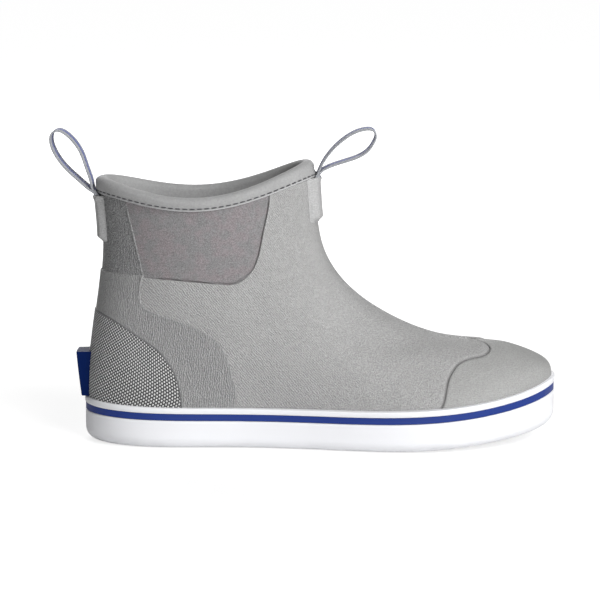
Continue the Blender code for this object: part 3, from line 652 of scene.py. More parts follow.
class Piece:
    # quad grids that make one mesh; points are millimetres on the last
    def __init__(self):
        self.points = []
        self.faces = []
        self.weave = []
        self.count = 0

    def grid(self, points, wrapColumns=False, wrapRows=False, flip=False, weave=None):
        # outward when its rows go up and its columns go round the boot by angle
        rows, columns = points.shape[:2]
        index = self.count + np.arange(rows * columns).reshape(rows, columns)
        if wrapColumns:
            index = np.concatenate([index, index[:, :1]], axis=1)
        if wrapRows:
            index = np.concatenate([index, index[:1]], axis=0)
        corners = (index[:-1, :-1], index[1:, :-1], index[1:, 1:], index[:-1, 1:])
        faces = np.stack(corners[::-1] if flip else corners, axis=-1).reshape(-1, 4)
        self.points.append(points.reshape(-1, 3))
        self.faces.append(faces)
        self.weave.append(np.zeros((rows * columns, 3)) if weave is None
                          else weave.reshape(-1, 3))
        self.count += rows * columns
        return index

    def slab(self, outer, inner, wrap=False, weave=None):
        # two grids that face apart, closed round their edges
        front = self.grid(outer, wrapColumns=wrap, weave=weave)
        back = self.grid(inner, wrapColumns=wrap, flip=True, weave=weave)
        edges = [(front[0], back[0], False), (front[-1], back[-1], True)]
        if not wrap:
            edges += [(front[:, 0], back[:, 0], True), (front[:, -1], back[:, -1], False)]
        for near, far, flip in edges:
            rim = np.stack([near[:-1], near[1:], far[1:], far[:-1]], axis=-1)
            self.faces.append(rim[:, ::-1] if flip else rim)

    def make(self, name, finish, body="boot", nodes=(), sharp=40.0):
        points = (np.concatenate(self.points) + lastOrigin) * mm
        faces = np.concatenate(self.faces)
        mesh = bpy.data.meshes.new(name)
        mesh.from_pydata(points.tolist(), [], faces.tolist())
        lay = mesh.attributes.new("weave", "FLOAT_VECTOR", "POINT")
        lay.data.foreach_set("vector", np.concatenate(self.weave).astype(np.float32).ravel())
        shape = bmesh.new()
        shape.from_mesh(mesh)
        bmesh.ops.remove_doubles(shape, verts=shape.verts, dist=0.002 * mm)    # closed ends
        bmesh.ops.recalc_face_normals(shape, faces=shape.faces)
        shape.to_mesh(mesh)
        shape.free()
        mesh.shade_smooth()
        mesh.set_sharp_from_angle(angle=math.radians(sharp))
        mesh.materials.append(finishes[finish])
        made = bpy.data.objects.new(name, mesh)
        bpy.context.scene.collection.objects.link(made)
        if body:
            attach(made, body)
        if nodes:
            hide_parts(*nodes)
        print(name, len(mesh.polygons), "faces")
        return made


def tube(piece, path, away, radius, sides=8, closed=False):
    # a round strip along a path; away points out of the surface that it lies on
    tangent = unit(np.gradient(path, axis=0))
    if closed:
        tangent = unit(np.roll(path, -1, axis=0) - np.roll(path, 1, axis=0))
    across = unit(np.cross(tangent, away))
    up = np.cross(across, tangent)
    spin = np.linspace(0, turn, sides, endpoint=False)
    radius = np.broadcast_to(radius, (len(path),))[:, None, None]
    ring = up[:, None] * np.cos(spin)[None, :, None]
    ring = ring + across[:, None] * np.sin(spin)[None, :, None]
    piece.grid(path[:, None] + ring * radius, wrapColumns=True, wrapRows=closed)


# The sole
soleShape = {
    "base": 5.0,
    "height": 26.3,         # ground to the top of the bead, heel to ball
    "beadClimb": 5.7,
    "heelClimb": 1.7,       # the same at the back of the heel
    "heelWall": 3.4,
    "toeWall": 5.6,
    "edgeRadius": 7.0,
    "foxing": 1.0,
    "stripeHeight": 4.1,
    "beadHeight": 3.6,
    "gap": 0.3,
    "under": 0.5,           # how far the groove for the stripe runs on below it
    "inner": 0.6,
    "core": 34.0,           # how far in from each end the line along the sole's middle starts
    "stripeIn": 0.15,       # how far the stripe stands back from the wall
    "stripeSoft": 0.22,
    "beadIn": 0.45,
    "beadOut": 0.85,
    "beadFlat": 0.45,       # 1 makes the bead half round, and less makes it flatter
    "tuck": 2.0,            # how far the upper's pieces run down behind the bead
    "columns": 420,
}


def springOf(x):
    start = lastShape["length"] * lastShape["springStart"]
    rate = np.clip((x - start) / (lastShape["length"] - start), 0, None)
    return lastShape["toeSpring"] * rate**2


def soleTop(angle):
    share = (1 + np.cos(angle)) / 2
    toe = (lastShape["toeSpring"] + soleShape["beadClimb"]) * share**6.6
    return soleShape["height"] + toe + soleShape["heelClimb"] * (1 - share)**7


def footLevel(angle):
    # level at which a piece of the upper ends, behind the bead
    return levelAtHeight(angle, soleTop(angle) - soleShape["tuck"])


def wallOut(angle):
    share = (1 + np.cos(angle)) / 2
    grow = soleShape["toeWall"] - soleShape["heelWall"]
    return soleShape["heelWall"] + grow * np.sqrt(share)


soleAngles = np.linspace(0, turn, soleShape["columns"], endpoint=False)
soleMiddle = (lastShape["feather"] + soleShape["height"]) / 2
soleFoot = levelAtHeight(soleAngles, soleMiddle)
soleBase = lastPoints(soleAngles, soleFoot)
soleWay = outward(soleAngles, soleFoot) * (1, 1, 0)
soleWay = unit(soleWay)


def wallRing(share, out):
    # a ring round the sole at a share of its height and a distance out of the last
    points = soleBase + soleWay * np.broadcast_to(out, (len(soleAngles),))[:, None]
    low = springOf(points[:, 0])
    points[:, 2] = low + (soleTop(soleAngles) - low) * share
    return points


def innerRing(z, out):
    points = skin(soleAngles, levelAtHeight(soleAngles, z), out)
    points[:, 2] = z
    return points


def centreRing(ring, inset):
    # the ring drawn in to a short line along the middle of the sole
    x = np.clip(ring[:, 0], ring[:, 0].min() + inset, ring[:, 0].max() - inset)
    return np.stack([x, middleLine(x), ring[:, 2]], axis=-1)


def closedLoft(piece, rings):
    piece.grid(np.stack([*rings, rings[0]]), wrapColumns=True)


treadShape = {
    "rim": 8.5,             # width of the plain edge under the sole
    "depth": 1.7,
    "pitch": 5.2,
    "bar": 4.1,
    "wave": 1.8,
    "waveLength": 15.0,
    "heelBreak": (92.0, 104.0),     # the waist between the heel's and the ball's bars
    "chamfer": 0.35,
    "chamferDepth": 0.14,   # as a share of the depth
    "gap": 1.1,             # from a bar's end to the plain edge
    "endGap": 3.5,
    "waveFade": 6.0,        # length at a bar's ends over which its wave fades out
    "points": 46,
}


def wallRings():
    # from the rounded lower edge up the wall, and into the groove behind the stripe and bead
    face = wallOut(soleAngles)
    radius = soleShape["edgeRadius"]
    height = soleShape["height"]
    groove = face - soleShape["foxing"] - soleShape["gap"]
    ledge = soleShape["stripeHeight"] + soleShape["beadHeight"] + soleShape["under"]
    ledge = 1 - ledge / height
    rings = []
    for lean in np.radians(np.linspace(0, 90, 13)):
        rings.append(wallRing(radius * (1 - math.cos(lean)) / height,
                              face - radius * (1 - math.sin(lean))))
    rings += [wallRing(share, face) for share in np.linspace(radius / height, ledge, 7)[1:-1]]
    rings += [wallRing(ledge - 0.3 / height, face), wallRing(ledge - 0.1 / height, face - 0.1),
              wallRing(ledge, face - 0.3), wallRing(ledge, groove), wallRing(1.0, groove)]
    return rings


def cupRings():
    # down the inside of the wall and across the floor of the sole
    feather = lastPoints(soleAngles, 0)[:, 2]
    top = soleTop(soleAngles)
    rings = []
    for share in (1, 0.75, 0.5, 0.25, 0):
        rings.append(innerRing(feather + (top - feather) * share, soleShape["inner"]))
    floor = innerRing(feather, soleShape["inner"])
    floor[:, 2] = springOf(floor[:, 0]) + soleShape["base"]
    return rings + [floor, centreRing(floor, soleShape["core"])]


def treadRings(edge):
    # from the middle of the sunk ground out to the plain edge
    plain = edge - soleWay * treadShape["rim"]
    plain[:, 2] = springOf(plain[:, 0])
    sunk = plain + (0, 0, treadShape["depth"])
    sunkIn = sunk - soleWay * treadShape["chamfer"]
    under = centreRing(sunk, soleShape["core"])
    for ring in (sunk, sunkIn, under):
        ring[:, 2] = springOf(ring[:, 0]) + treadShape["depth"]
    return [under, sunkIn, sunk, plain]


def makeOutsole():
    piece = Piece()
    wall = wallRings()
    tread = treadRings(wall[0])
    piece.grid(np.stack(tread + wall + cupRings()), wrapColumns=True)
    addTread(piece, tread[-1])
    return piece.make("deck_outsole", "white", nodes=["outsole"])


def sideReach(outline, x, lateral):
    # y of the outline at an x, on one of its sides
    half = outline[:len(outline) // 2 + 1] if lateral else np.roll(outline[::-1], 1, axis=0)
    half = half[:len(outline) // 2 + 1]
    order = np.argsort(half[:, 0])
    return np.interp(x, half[order, 0], half[order, 1])


def addTread(piece, outline):
    # wavy bars across the sole, a step apart from its plain edge
    gap = treadShape["gap"]
    low = outline[:, 0].min() + treadShape["endGap"]
    high = outline[:, 0].max() - treadShape["endGap"]
    waist = treadShape["heelBreak"]
    across = np.linspace(0, 1, treadShape["points"])
    cut = treadShape["chamferDepth"]
    for centre in np.arange(low + 1, high - treadShape["bar"], treadShape["pitch"]):
        if waist[0] < centre < waist[1]:
            continue
        rows = []
        half = treadShape["bar"] / 2
        inset = treadShape["chamfer"]
        for x, z in ((centre - half, 1.0), (centre - half, cut), (centre - half + inset, 0.0),
                     (centre + half - inset, 0.0), (centre + half, cut), (centre + half, 1.0)):
            start = sideReach(outline, x, True) + gap
            end = sideReach(outline, x, False) - gap
            y = start + (end - start) * across
            wave = treadShape["wave"] * np.sin(y * turn / treadShape["waveLength"])
            fade = np.minimum(across, 1 - across) * (end - start) / treadShape["waveFade"]
            fade = np.clip(fade, 0, 1)
            px = x + wave * fade * smoothStep(8, 40, min(centre - low, high - centre) + 8)
            z = springOf(px) + z * (treadShape["depth"] + 0.05)
            rows.append(np.stack([px, y, z], axis=-1))
        addBar(piece, np.stack(rows))


def addBar(piece, rows):
    # closes the ends and the hidden top of one bar
    first = rows[:, :1].mean(axis=0, keepdims=True) + 0 * rows[:, :1]
    last = rows[:, -1:].mean(axis=0, keepdims=True) + 0 * rows[:, -1:]
    piece.grid(np.concatenate([first, rows, last], axis=1), wrapRows=True)


def makeFoxing():
    face = wallOut(soleAngles)
    height = soleShape["height"]
    back = face - soleShape["foxing"]
    beadLow = 1 - soleShape["beadHeight"] / height
    stripeTop = beadLow - 0.12 / height
    stripeLow = stripeTop - (soleShape["stripeHeight"] + 0.1) / height
    soft = soleShape["stripeSoft"]
    stripe = face - soleShape["stripeIn"]
    piece = Piece()
    closedLoft(piece, [
        wallRing(stripeLow, back), wallRing(stripeLow, stripe - soft),
        wallRing(stripeLow + soft / height, stripe), wallRing(stripeTop - soft / height, stripe),
        wallRing(stripeTop, stripe - soft), wallRing(stripeTop, back)])
    piece.make("foxing_band", "blue", nodes=["foxing_stripe"])
    piece = Piece()
    rings = [wallRing(beadLow, back)]
    for lean in np.radians(np.linspace(-90, 90, 13)):   # a flattened half round
        out = abs(math.cos(lean))**soleShape["beadFlat"]
        share = beadLow + (1 - beadLow) * (math.sin(lean) + 1) / 2
        bead = face - soleShape["beadIn"] + out * soleShape["beadOut"]
        rings.append(wallRing(share, bead))
    topIn = innerRing(soleTop(soleAngles) - 0.15, 0.75)
    rings += [topIn, wallRing(1 - 0.5 / height, back)]
    closedLoft(piece, rings)
    piece.make("foxing_welt", "white", nodes=["foxing_bead"])


makeOutsole()
makeFoxing()
print("sole made")

# Outlines on the last, as angles and levels
outlines = {
    "goreEdge": ((0.932, 1.0), (0.946, 0.968), (1.023, 0.909), (1.162, 0.805), (1.255, 0.761),
                 (1.345, 0.735), (1.463, 0.717), (1.551, 0.718), (1.798, 0.727), (2.064, 0.734),
                 (2.233, 0.737)),
    "goreBack": ((2.233, 0.737), (2.410, 1.0)),
    "panelFoot": 0.741,
    "overlayFront": ((1.950, 0.131), (1.877, 0.310), (1.806, 0.444), (1.786, 0.516),
                     (1.831, 0.564), (1.990, 0.603), (2.147, 0.628), (2.248, 0.648),
                     (2.273, 0.678), (2.263, 0.708), (2.237, 0.733)),
    "counterEdge": ((2.197, 0.10), (2.186, 0.208), (2.171, 0.273), (2.161, 0.322),
                    (2.158, 0.369), (2.164, 0.411), (2.176, 0.446), (2.195, 0.473),
                    (2.222, 0.494), (2.280, 0.520), (2.357, 0.546), (2.469, 0.575),
                    (2.653, 0.602), (2.900, 0.616), (math.pi, 0.620)),
    "toeCapEdge": ((0.0, 0.385), (0.1, 0.362), (0.165, 0.345), (0.319, 0.314), (0.431, 0.301),
                   (0.522, 0.296), (0.60, 0.298), (0.702, 0.293), (0.794, 0.274),
                   (0.888, 0.243), (0.986, 0.181), (1.023, 0.130), (1.040, 0.098),
                   (1.050, 0.072)),
}

capAngles, capLevels = smoothOutline(outlines["toeCapEdge"], 0.8)
goreAngles, goreLevels = smoothOutline(outlines["goreEdge"], 1.6)
capBothAngles = np.concatenate([-capAngles[:0:-1], capAngles])
capBothLevels = np.concatenate([capLevels[:0:-1], capLevels])
capRim = lastPoints(capBothAngles, capBothLevels)

vampShape = {
    "hidden": 0.045,         # level behind the sole's wall, where the cap's edge would run on
    "below": (12.0, 8.0, 5.5, 4.0, 3.0, 2.2, 1.5, 0.9, 0.4, 0.0),
    "above": (0.3, 0.6, 0.9, 1.25, 1.7, 2.3, 3.1, 4.3, 6.0),
    "rimRows": (1.4, 1.0, 0.7, 0.45, 0.25, 0.1, 0.0),
    "rows": 64,
    "thickness": 0.6,
    "groove": 0.95,
    "lip": 0.12,            # how far the vamp stands over the toe cap's edge
    "slope": 2.3,           # width of the groove's side
    # how far the painted shade in the groove darkens the colour
    "grooveShadeAmount": 0.7,
    "capDepth": 0.4,        # how much deeper the vamp runs on under the toe cap
    "edgeRadius": 0.6,
    "edgeDepth": 0.55,
    "nearGore": (2.4, 1.6, 1.0, 0.6, 0.3, 0.12),    # millimetres from the gore's front corner
    "frontColumns": 44,
    "backColumns": 26,
    "ridge": (147.0, 152.0),        # x where the forefoot's stiffening steps up
    "ridgeFade": (0.46, 0.34),      # levels between which it fades in
    "ridgeHeight": 0.28,
}


# painted shade for the groove at the toe cap's edge, kept as the weave attribute's x
def grooveShading(hollowShade):
    return np.stack([hollowShade, 0 * hollowShade, 0 * hollowShade], axis=-1)


def capEdgeLevel(angle):
    # level of the toe cap's edge, which runs down behind the sole past the cap's ends
    away = np.minimum(angle, turn - angle)
    low = vampShape["hidden"]
    past = low + (capLevels[-1] - low) * smoothStep(1.2, capAngles[-1], away)
    return np.where(away < capAngles[-1], np.interp(away, capAngles, capLevels), past)


def fullTurn(half):
    # angles from toe to heel, and on along the other side up to the toe
    return np.concatenate([half, turn - half[-2:0:-1]])


def bothSides(half):
    # angles up to the heel, and back to the same place on the other side
    return np.concatenate([half, turn - half[-2::-1]])


def edgeDistance(base, *sides):
    # distance along a grid from the nearest of the sides that are named
    upRun, roundRun = runAlong(base, 0), runAlong(base, 1)
    reach = {"low": upRun, "high": upRun[-1:] - upRun,
             "start": roundRun, "end": roundRun[:, -1:] - roundRun}
    return np.min([reach[side] for side in sides], axis=0)


def layered(piece, base, way, outer, inner, **options):
    # a slab between two distances out of the points in base
    inner = inner + 0 * outer
    piece.slab(base + way * outer[..., None], base + way * inner[..., None], **options)


def vampGrid():
    # rows lie close together at the toe cap's edge and at the top, columns beside the gores
    shape = vampShape
    perMm = anglePerMm(goreAngles[0], 0.95)
    close = goreAngles[0] - perMm * np.array(shape["nearGore"])
    front = np.concatenate([np.linspace(0, close[0], shape["frontColumns"])[:-1], close])
    back = np.linspace(goreAngles[-1], math.pi, shape["backColumns"])[1:]
    half = np.concatenate([front, goreAngles, back])
    topHalf = np.concatenate([front * 0 + 1, goreLevels, back * 0 + outlines["panelFoot"]])
    angle = fullTurn(half)
    top = np.concatenate([topHalf, topHalf[-2:0:-1]])
    edge = capEdgeLevel(angle)
    scale = levelPerMm(angle, edge)
    deepest = shape["below"][0] + 0.5
    rows = [edge - np.minimum(scale * d, edge * d / deepest) for d in shape["below"]]
    rows += [edge + scale * d for d in shape["above"]]
    last = top - levelPerMm(angle, top) * shape["rimRows"][0]
    rows += [rows[-1] + (last - rows[-1]) * s
             for s in np.linspace(0, 1, shape["rows"])[1:-1]]
    rows += [top - levelPerMm(angle, top) * d for d in shape["rimRows"]]
    level = np.stack(rows)
    return angle + 0 * level, level, edge


def vampOffset(base, level, distance):
    # a groove at the toe cap's edge, the forefoot's step and edges rounded at the gores
    shape = vampShape
    rise = np.sin(np.clip(distance / shape["slope"], 0, 1) * math.pi / 2)
    offset = -shape["groove"] + (shape["groove"] + shape["lip"]) * rise
    offset -= shape["lip"] * smoothStep(shape["slope"], 12.0, distance)
    offset -= shape["capDepth"] * smoothStep(0.0, -shape["thickness"], distance)
    ridge = smoothStep(*shape["ridge"], base[..., 0]) * smoothStep(*shape["ridgeFade"], level)
    offset += shape["ridgeHeight"] * ridge * (distance > 0)
    goreRim = np.concatenate([lastPoints(goreAngles, goreLevels),
                              lastPoints(turn - goreAngles, goreLevels)])
    nearGore = distanceTo(goreRim, base)
    return offset - shape["edgeDepth"] * (1 - rounded(nearGore, shape["edgeRadius"]))


def makeVamp():
    shape = vampShape
    angle, level, edge = vampGrid()
    base = lastPoints(angle, level)
    distance = distanceTo(capRim, base)
    inside = (level < edge) & (np.minimum(angle, turn - angle) < capAngles[-1] + 0.02)
    distance = np.where(inside, -distance, distance)
    offset = vampOffset(base, level, distance)
    inner = np.minimum(-shape["thickness"], offset - 0.35)
    piece = Piece()
    layered(piece, base, outward(angle, level), offset, inner, wrap=True,
            weave=grooveShading(smoothStep(1.5, 0.2, distance) * shape["grooveShadeAmount"]))
    return piece.make("upper_vamp", "upper", nodes=["vamp_shell"])


def makeToeCap():
    shape = {"edge": -0.95, "full": -0.05, "raised": 0.85, "inner": -1.2, "radius": 1.9,
             "gap": 0.35, "climb": (1.0, 14.0)}
    angle = capBothAngles
    away = np.abs(angle)
    top = capBothLevels - levelPerMm(away, capBothLevels) * shape["gap"]
    foot = np.minimum(footLevel(away), top - 0.004)
    shares = edgedShares(80.0, 1.6, 1.6, low=False)
    level = foot + (top - foot) * shares[:, None]
    angle = angle + 0 * level
    base = lastPoints(angle, level)
    near = distanceTo(capRim, base)
    offset = shape["edge"]
    offset = offset + (shape["full"] - offset) * rounded(near - 0.3, shape["radius"])
    offset += shape["raised"] * smoothStep(*shape["climb"], near)
    way = outward(angle, level)
    inner = np.minimum(shape["inner"], offset - 0.1)
    piece = Piece()
    layered(piece, base, way, offset, inner,
            weave=grooveShading(smoothStep(1.5, 0.2, near) * vampShape["grooveShadeAmount"]))
    return piece.make("upper_toe_cap", "toe", nodes=["toe_cap"])


def makeRearOverlay():
    shape = {"full": 0.85, "wall": 0.2, "inner": 0.1, "radius": 0.7, "top": 0.746,
             "welt": 0.45, "weltFrom": (0.62, 0.70), "weltWidth": (1.9, 0.7)}
    outline = list(outlines["overlayFront"])
    outline[-1] = (outline[-1][0] - 0.006, shape["top"])
    starts, levels = smoothOutline(outline, 1.5)
    levels = np.maximum.accumulate(levels + np.arange(len(levels)) * 1e-6)
    shares = edgedShares(95.0, 1.5, shape["radius"], low=False)
    level = levels[0] + (levels[-1] - levels[0]) * shares
    start = np.interp(level, levels, starts)[:, None]
    across = edgedShares(150.0, 1.5, shape["radius"])[None, :]
    angle = start + (turn - 2 * start) * across
    foot = footLevel(angle[0])
    climb = (level[:, None] - levels[0]) / (levels[-1] - levels[0])
    level = foot + (levels[-1] - foot) * climb
    base = lastPoints(angle, level)
    high = smoothStep(*shape["weltFrom"], level)    # the front edge is a welt near the gore
    aside = edgeDistance(base, "start", "end")
    relief = shape["welt"] * high * smoothStep(*shape["weltWidth"], aside) * rounded(aside, 0.6)
    soft = rounded(edgeDistance(base, "high", "start", "end"), shape["radius"])
    offset = shape["wall"] + (shape["full"] - shape["wall"]) * soft + relief
    piece = Piece()
    layered(piece, base, outward(angle, level), offset, shape["inner"])
    return piece.make("quarter_overlay", "overlay",
                      nodes=["rear_quarter_overlay"])


def borderOf(grid):
    # the points round a grid, from its first corner
    sides = [grid[0, :-1], grid[:-1, -1], grid[-1, :0:-1], grid[:0:-1, 0]]
    return np.concatenate(sides)


def counterGrid():
    # rows go up from behind the bead to the outline, and columns go round the heel
    shape = counterShape
    edge = list(outlines["counterEdge"])
    edge[0] = (edge[0][0], footLevel(np.array([edge[0][0]]))[0] + 0.004)
    high, top = smoothOutline(edge, shape["grid"])
    low = bothSides(np.linspace(edge[0][0], math.pi, len(high)))
    high = bothSides(high)
    top = np.concatenate([top, top[-2::-1]])
    foot = footLevel(mirrored(low))
    up = np.linspace(0, 1, int(shape["height"] / shape["grid"]))[:, None]
    return low + (high - low) * up, foot + (top - foot) * up


def makeCounter():
    shape = counterShape
    angle, level = counterGrid()
    base = lastPoints(angle, level)
    marks = np.linspace(math.pi, 1.9, 200)      # a level line on which the studs are counted
    reach = runAlong(lastPoints(marks, 0.36)[None], 1)[0]
    forward = np.interp(math.pi - mirrored(angle), math.pi - marks, reach)
    first, second = (wave[0] * forward + wave[1] * base[..., 2]
                     for wave in (shape["firstWave"], shape["secondWave"]))
    waves = [np.cos(turn * turns) for turns in (first, second, first - second)]
    stud = np.clip(sum(waves) * 2 / 9 + 1 / 3, 0, 1)
    near = edgeDistance(base, "high", "start", "end")
    face = smoothStep(shape["rim"], shape["rim"] + 0.4, near)
    soft = rounded(near, shape["radius"])
    offset = shape["wall"] + (shape["full"] - shape["wall"]) * soft
    offset = offset + shape["rimHeight"] * (1 - face) * soft
    offset = offset + (shape["stud"] * np.sqrt(stud) - shape["ground"]) * face
    outer = base + outward(angle, level) * offset[..., None]
    piece = Piece()
    piece.grid(outer, weave=np.stack([first, second, face], axis=-1))
    # the plain inner face is a few rings from the edge to its middle
    places = borderOf(np.stack([angle, level], axis=-1))
    middle = np.array([math.pi, shape["middle"]])
    rings = [borderOf(outer)]
    for share in np.linspace(0, 1, 9):
        spot = places + (middle - places) * share
        rings.append(skin(spot[:, 0], spot[:, 1], shape["inner"]))
    piece.grid(np.stack(rings), wrapColumns=True)
    return piece.make("studded_counter", "counter",
                      nodes=["heel_counter"], sharp=180.0)


def makeKickTab():
    # a straight wedge; its back leans out from foot to top
    shape = {"width": 20.0, "height": 29.4, "lift": 0.8, "foot": 4.6, "top": 9.75,
             "inner": 1.5, "radius": 0.5, "crown": 0.003}
    half = shape["width"] / 2 * anglePerMm(math.pi, 0.25)
    across = edgedShares(shape["width"], 1.2, shape["radius"])
    angle = math.pi - half + 2 * half * across
    low = levelAtHeight(angle, soleTop(angle) + shape["lift"])
    high = levelAtHeight(angle, soleTop(angle) + shape["height"])
    up = edgedShares(shape["height"], 1.2, shape["radius"])[:, None]
    level = low + (high - low) * up
    angle = angle + 0 * level
    base = lastPoints(angle, level)
    near = edgeDistance(base, "low", "high", "start", "end")
    heel = base[:, base.shape[1] // 2, 0]
    foot, top = heel[0] - shape["foot"], heel[-1] - shape["top"]
    back = foot + (top - foot) * up + shape["crown"] * base[..., 1]**2
    face = base.copy()
    face[..., 0] = back + shape["radius"] * (1 - rounded(near, shape["radius"]))
    way = outward(angle, level)
    piece = Piece()
    piece.slab(face, base + way * shape["inner"])
    return piece.make("kick_tab", "kick", nodes=["heel_kick_tab"])


makeVamp()
makeToeCap()
makeRearOverlay()
makeCounter()
makeKickTab()
print("rubber upper made")

# The shaft: gores, rear panel, collar and lining
shaftShape = {
    "tuck": 2.6,            # how far a gore runs on under the rubber round it
    "top": 0.995,           # level at which the gores and the rear panel end
    "recess": 0.66,
    "flush": (12.0, 7.0),   # millimetres below the rim between which the recess ends
    "rimRecess": 0.05,
    "seam": 1.0,
    "seamWidth": (1.5, 0.5),
    "goreInner": 2.0,
    "rib": 0.07,
    "ribPitch": 1.84,
    "drop": 7.0,            # length of the collar's outer flap
}


def goreBackAngle(level):
    (lowAngle, low), (highAngle, high) = outlines["goreBack"]
    return lowAngle + (highAngle - lowAngle) * (level - low) / (high - low)


def makeGores():
    shape = shaftShape
    marks, foot = smoothOutline(outlines["goreEdge"], 1.4)
    inset = shape["tuck"] * anglePerMm(math.pi / 2, 0.85)
    steep = np.clip((1.7 - marks) / 0.7, 0, 1)
    low = np.clip((marks - 1.0) / 0.25, 0.15, 1)
    foot = foot - shape["tuck"] * levelPerMm(marks, foot) * low
    marks = marks - inset * steep
    share = (marks - marks[0]) / (marks[-1] - marks[0])
    marks = marks + inset * smoothStep(0.9, 1.0, share)
    rim = marks[0] + (goreBackAngle(1.0) + inset - marks[0]) * share
    up = np.linspace(0, 1, 170)[:, None]
    angle = marks + (rim - marks) * up
    foot = np.minimum(foot, shape["top"] - 0.01)
    level = foot + (shape["top"] - foot) * up
    base = lastPoints(angle, level)
    rimRise = runAlong(base, 0)
    below = rimRise[-1:] - rimRise
    flush = smoothStep(*shape["flush"], below)
    rib = np.cos(turn * base[..., 2] / shape["ribPitch"])
    offset = -shape["recess"] + (shape["recess"] - shape["rimRecess"]) * flush
    offset = offset + shape["rib"] * (rib - 1) * 0.5 * (1 - flush)
    seam = lastPoints(goreAngles, goreLevels)
    seam = seam[: int(len(seam) * 0.93)]        # its rear end has no gap
    offset = offset - shape["seam"] * smoothStep(*shape["seamWidth"], distanceTo(seam, base))
    sides = {"lateral": (angle, level, offset),
             "medial": (turn - angle[:, ::-1], level[:, ::-1], offset[:, ::-1])}
    for name, (spin, height, out) in sides.items():
        piece = Piece()
        layered(piece, lastPoints(spin, height), outward(spin, height), out,
                -shape["goreInner"])
        piece.make("stretch_gore_" + name, "gore",
                   nodes=["gore_" + name], sharp=180.0)


def makeRearPanel():
    shape = {"recess": 0.5, "inner": -0.6, "radius": 0.5, "welt": 0.3, "weltIn": 0.6,
             "weltWidth": 0.42}
    foot = outlines["panelFoot"] - 0.001
    top = shaftShape["top"]
    level = foot + (top - foot) * edgedShares(60.0, 1.5, 0.6, high=False)[:, None]
    start = goreBackAngle(level) - 0.004
    across = edgedShares(64.0, 1.3, 1.4)[None, :]
    angle = start + (turn - 2 * start) * across
    level = level + 0 * angle
    base = lastPoints(angle, level)
    near = edgeDistance(base, "start", "end")
    # a raised seam lies beside each gore
    welt = np.exp(-((near - shape["weltIn"]) / shape["weltWidth"])**2) * shape["welt"]
    offset = -shape["recess"] + shape["recess"] * rounded(near, shape["radius"]) + welt
    piece = Piece()
    layered(piece, base, outward(angle, level), offset, shape["inner"])
    return piece.make("rear_shaft", "shaft", nodes=["rear_shaft_panel"])


collarAngles = np.linspace(0, turn, 340, endpoint=False)
collarUp = unit(lastPoints(collarAngles, 1.0) - lastPoints(collarAngles, 0.98))


def collarPoints(offset, height):
    # points round the collar: out of the last, and up from its cut edge
    if height >= 0:
        return skin(collarAngles, 1.0, offset) + collarUp * height
    return skin(collarAngles, levelBelowRim(collarAngles, -height), offset)


collarShape = {
    # outward and up from the cut edge, from the flap's lower edge over the roll to the inside
    "profile": ((0.75, -6.75), (1.28, -6.55), (1.5, -5.8), (1.58, -4.0), (1.58, -2.2),
                (1.40, -0.6), (0.86, 0.9), (-0.35, 2.0), (-1.8, 2.5), (-3.4, 2.45),
                (-4.9, 1.9), (-6.1, 0.8), (-6.9, -0.6), (-7.15, -2.4), (-7.15, -6.0),
                (-7.0, -12.0), (-6.6, -19.0), (-6.0, -24.0)),
    "sideDrop": 1.9,        # how much lower the roll is at the sides than at its ends
    "frontTuck": 1.7,       # how far the front of the roll sits back
    "steps": 56,
    "hidden": ((-5.6, -24.0), (-5.6, -1.6), (0.0, -1.6), (0.0, -6.7)),
    "tight": 0.22,          # how far the stitches draw the flap in, and how far that varies
    "tightWave": 0.16,
    "slack": 0.22,
    "stitchOut": 1.36,
    "stitchSink": 0.35,
    "stitchLine": -5.85,
    "stitchPitch": 4.6,
    "stitchLength": 3.7,
    "stitchRadius": 0.40,
    "weltRadius": 0.48,
    "weltOut": 0.62,
    "weltLine": -7.1,
}


def collarRun():
    line = collarPoints(1.5, collarShape["stitchLine"])
    closed = np.concatenate([line, line[:1]])
    return np.concatenate([[0], np.linalg.norm(np.diff(closed, axis=0), axis=1).cumsum()])


def makeBinding():
    shape = collarShape
    points = np.array(shape["profile"])
    run = np.concatenate([[0], np.linalg.norm(np.diff(points, axis=0), axis=1).cumsum()])
    profile = splineWeights(run, np.linspace(0, run[-1], shape["steps"])) @ points
    around = collarRun()[:-1]
    count = round(collarRun()[-1] / shape["stitchPitch"])
    pull = 0.5 + 0.5 * np.cos(turn * count * around / collarRun()[-1])
    slack = np.sin(around / 9.0) * 0.5 + np.sin(around / 3.7 + 1.0) * 0.3
    rings = []
    for offset, height in profile:
        tight = math.exp(-((height - shape["stitchLine"]) / 0.8)**2) * (offset > 0)
        soft = math.exp(-((height - 1.6) / 2.6)**2)
        drawn = tight * (shape["tight"] + shape["tightWave"] * pull)
        ring = collarPoints(offset - drawn + shape["slack"] * soft * slack, height)
        ring[:, 0] -= shape["frontTuck"] * (np.clip(np.cos(collarAngles), 0, 1)**4
                                            * smoothStep(-6.6, -3.0, height))
        ring[:, 2] -= shape["sideDrop"] * np.sin(collarAngles)**2 * smoothStep(-4.0, 1.5, height)
        rings.append(ring)
    rings += [collarPoints(*place) for place in shape["hidden"]]
    piece = Piece()
    closedLoft(piece, rings)
    return piece.make("collar_roll", "binding", nodes=["collar_binding"])


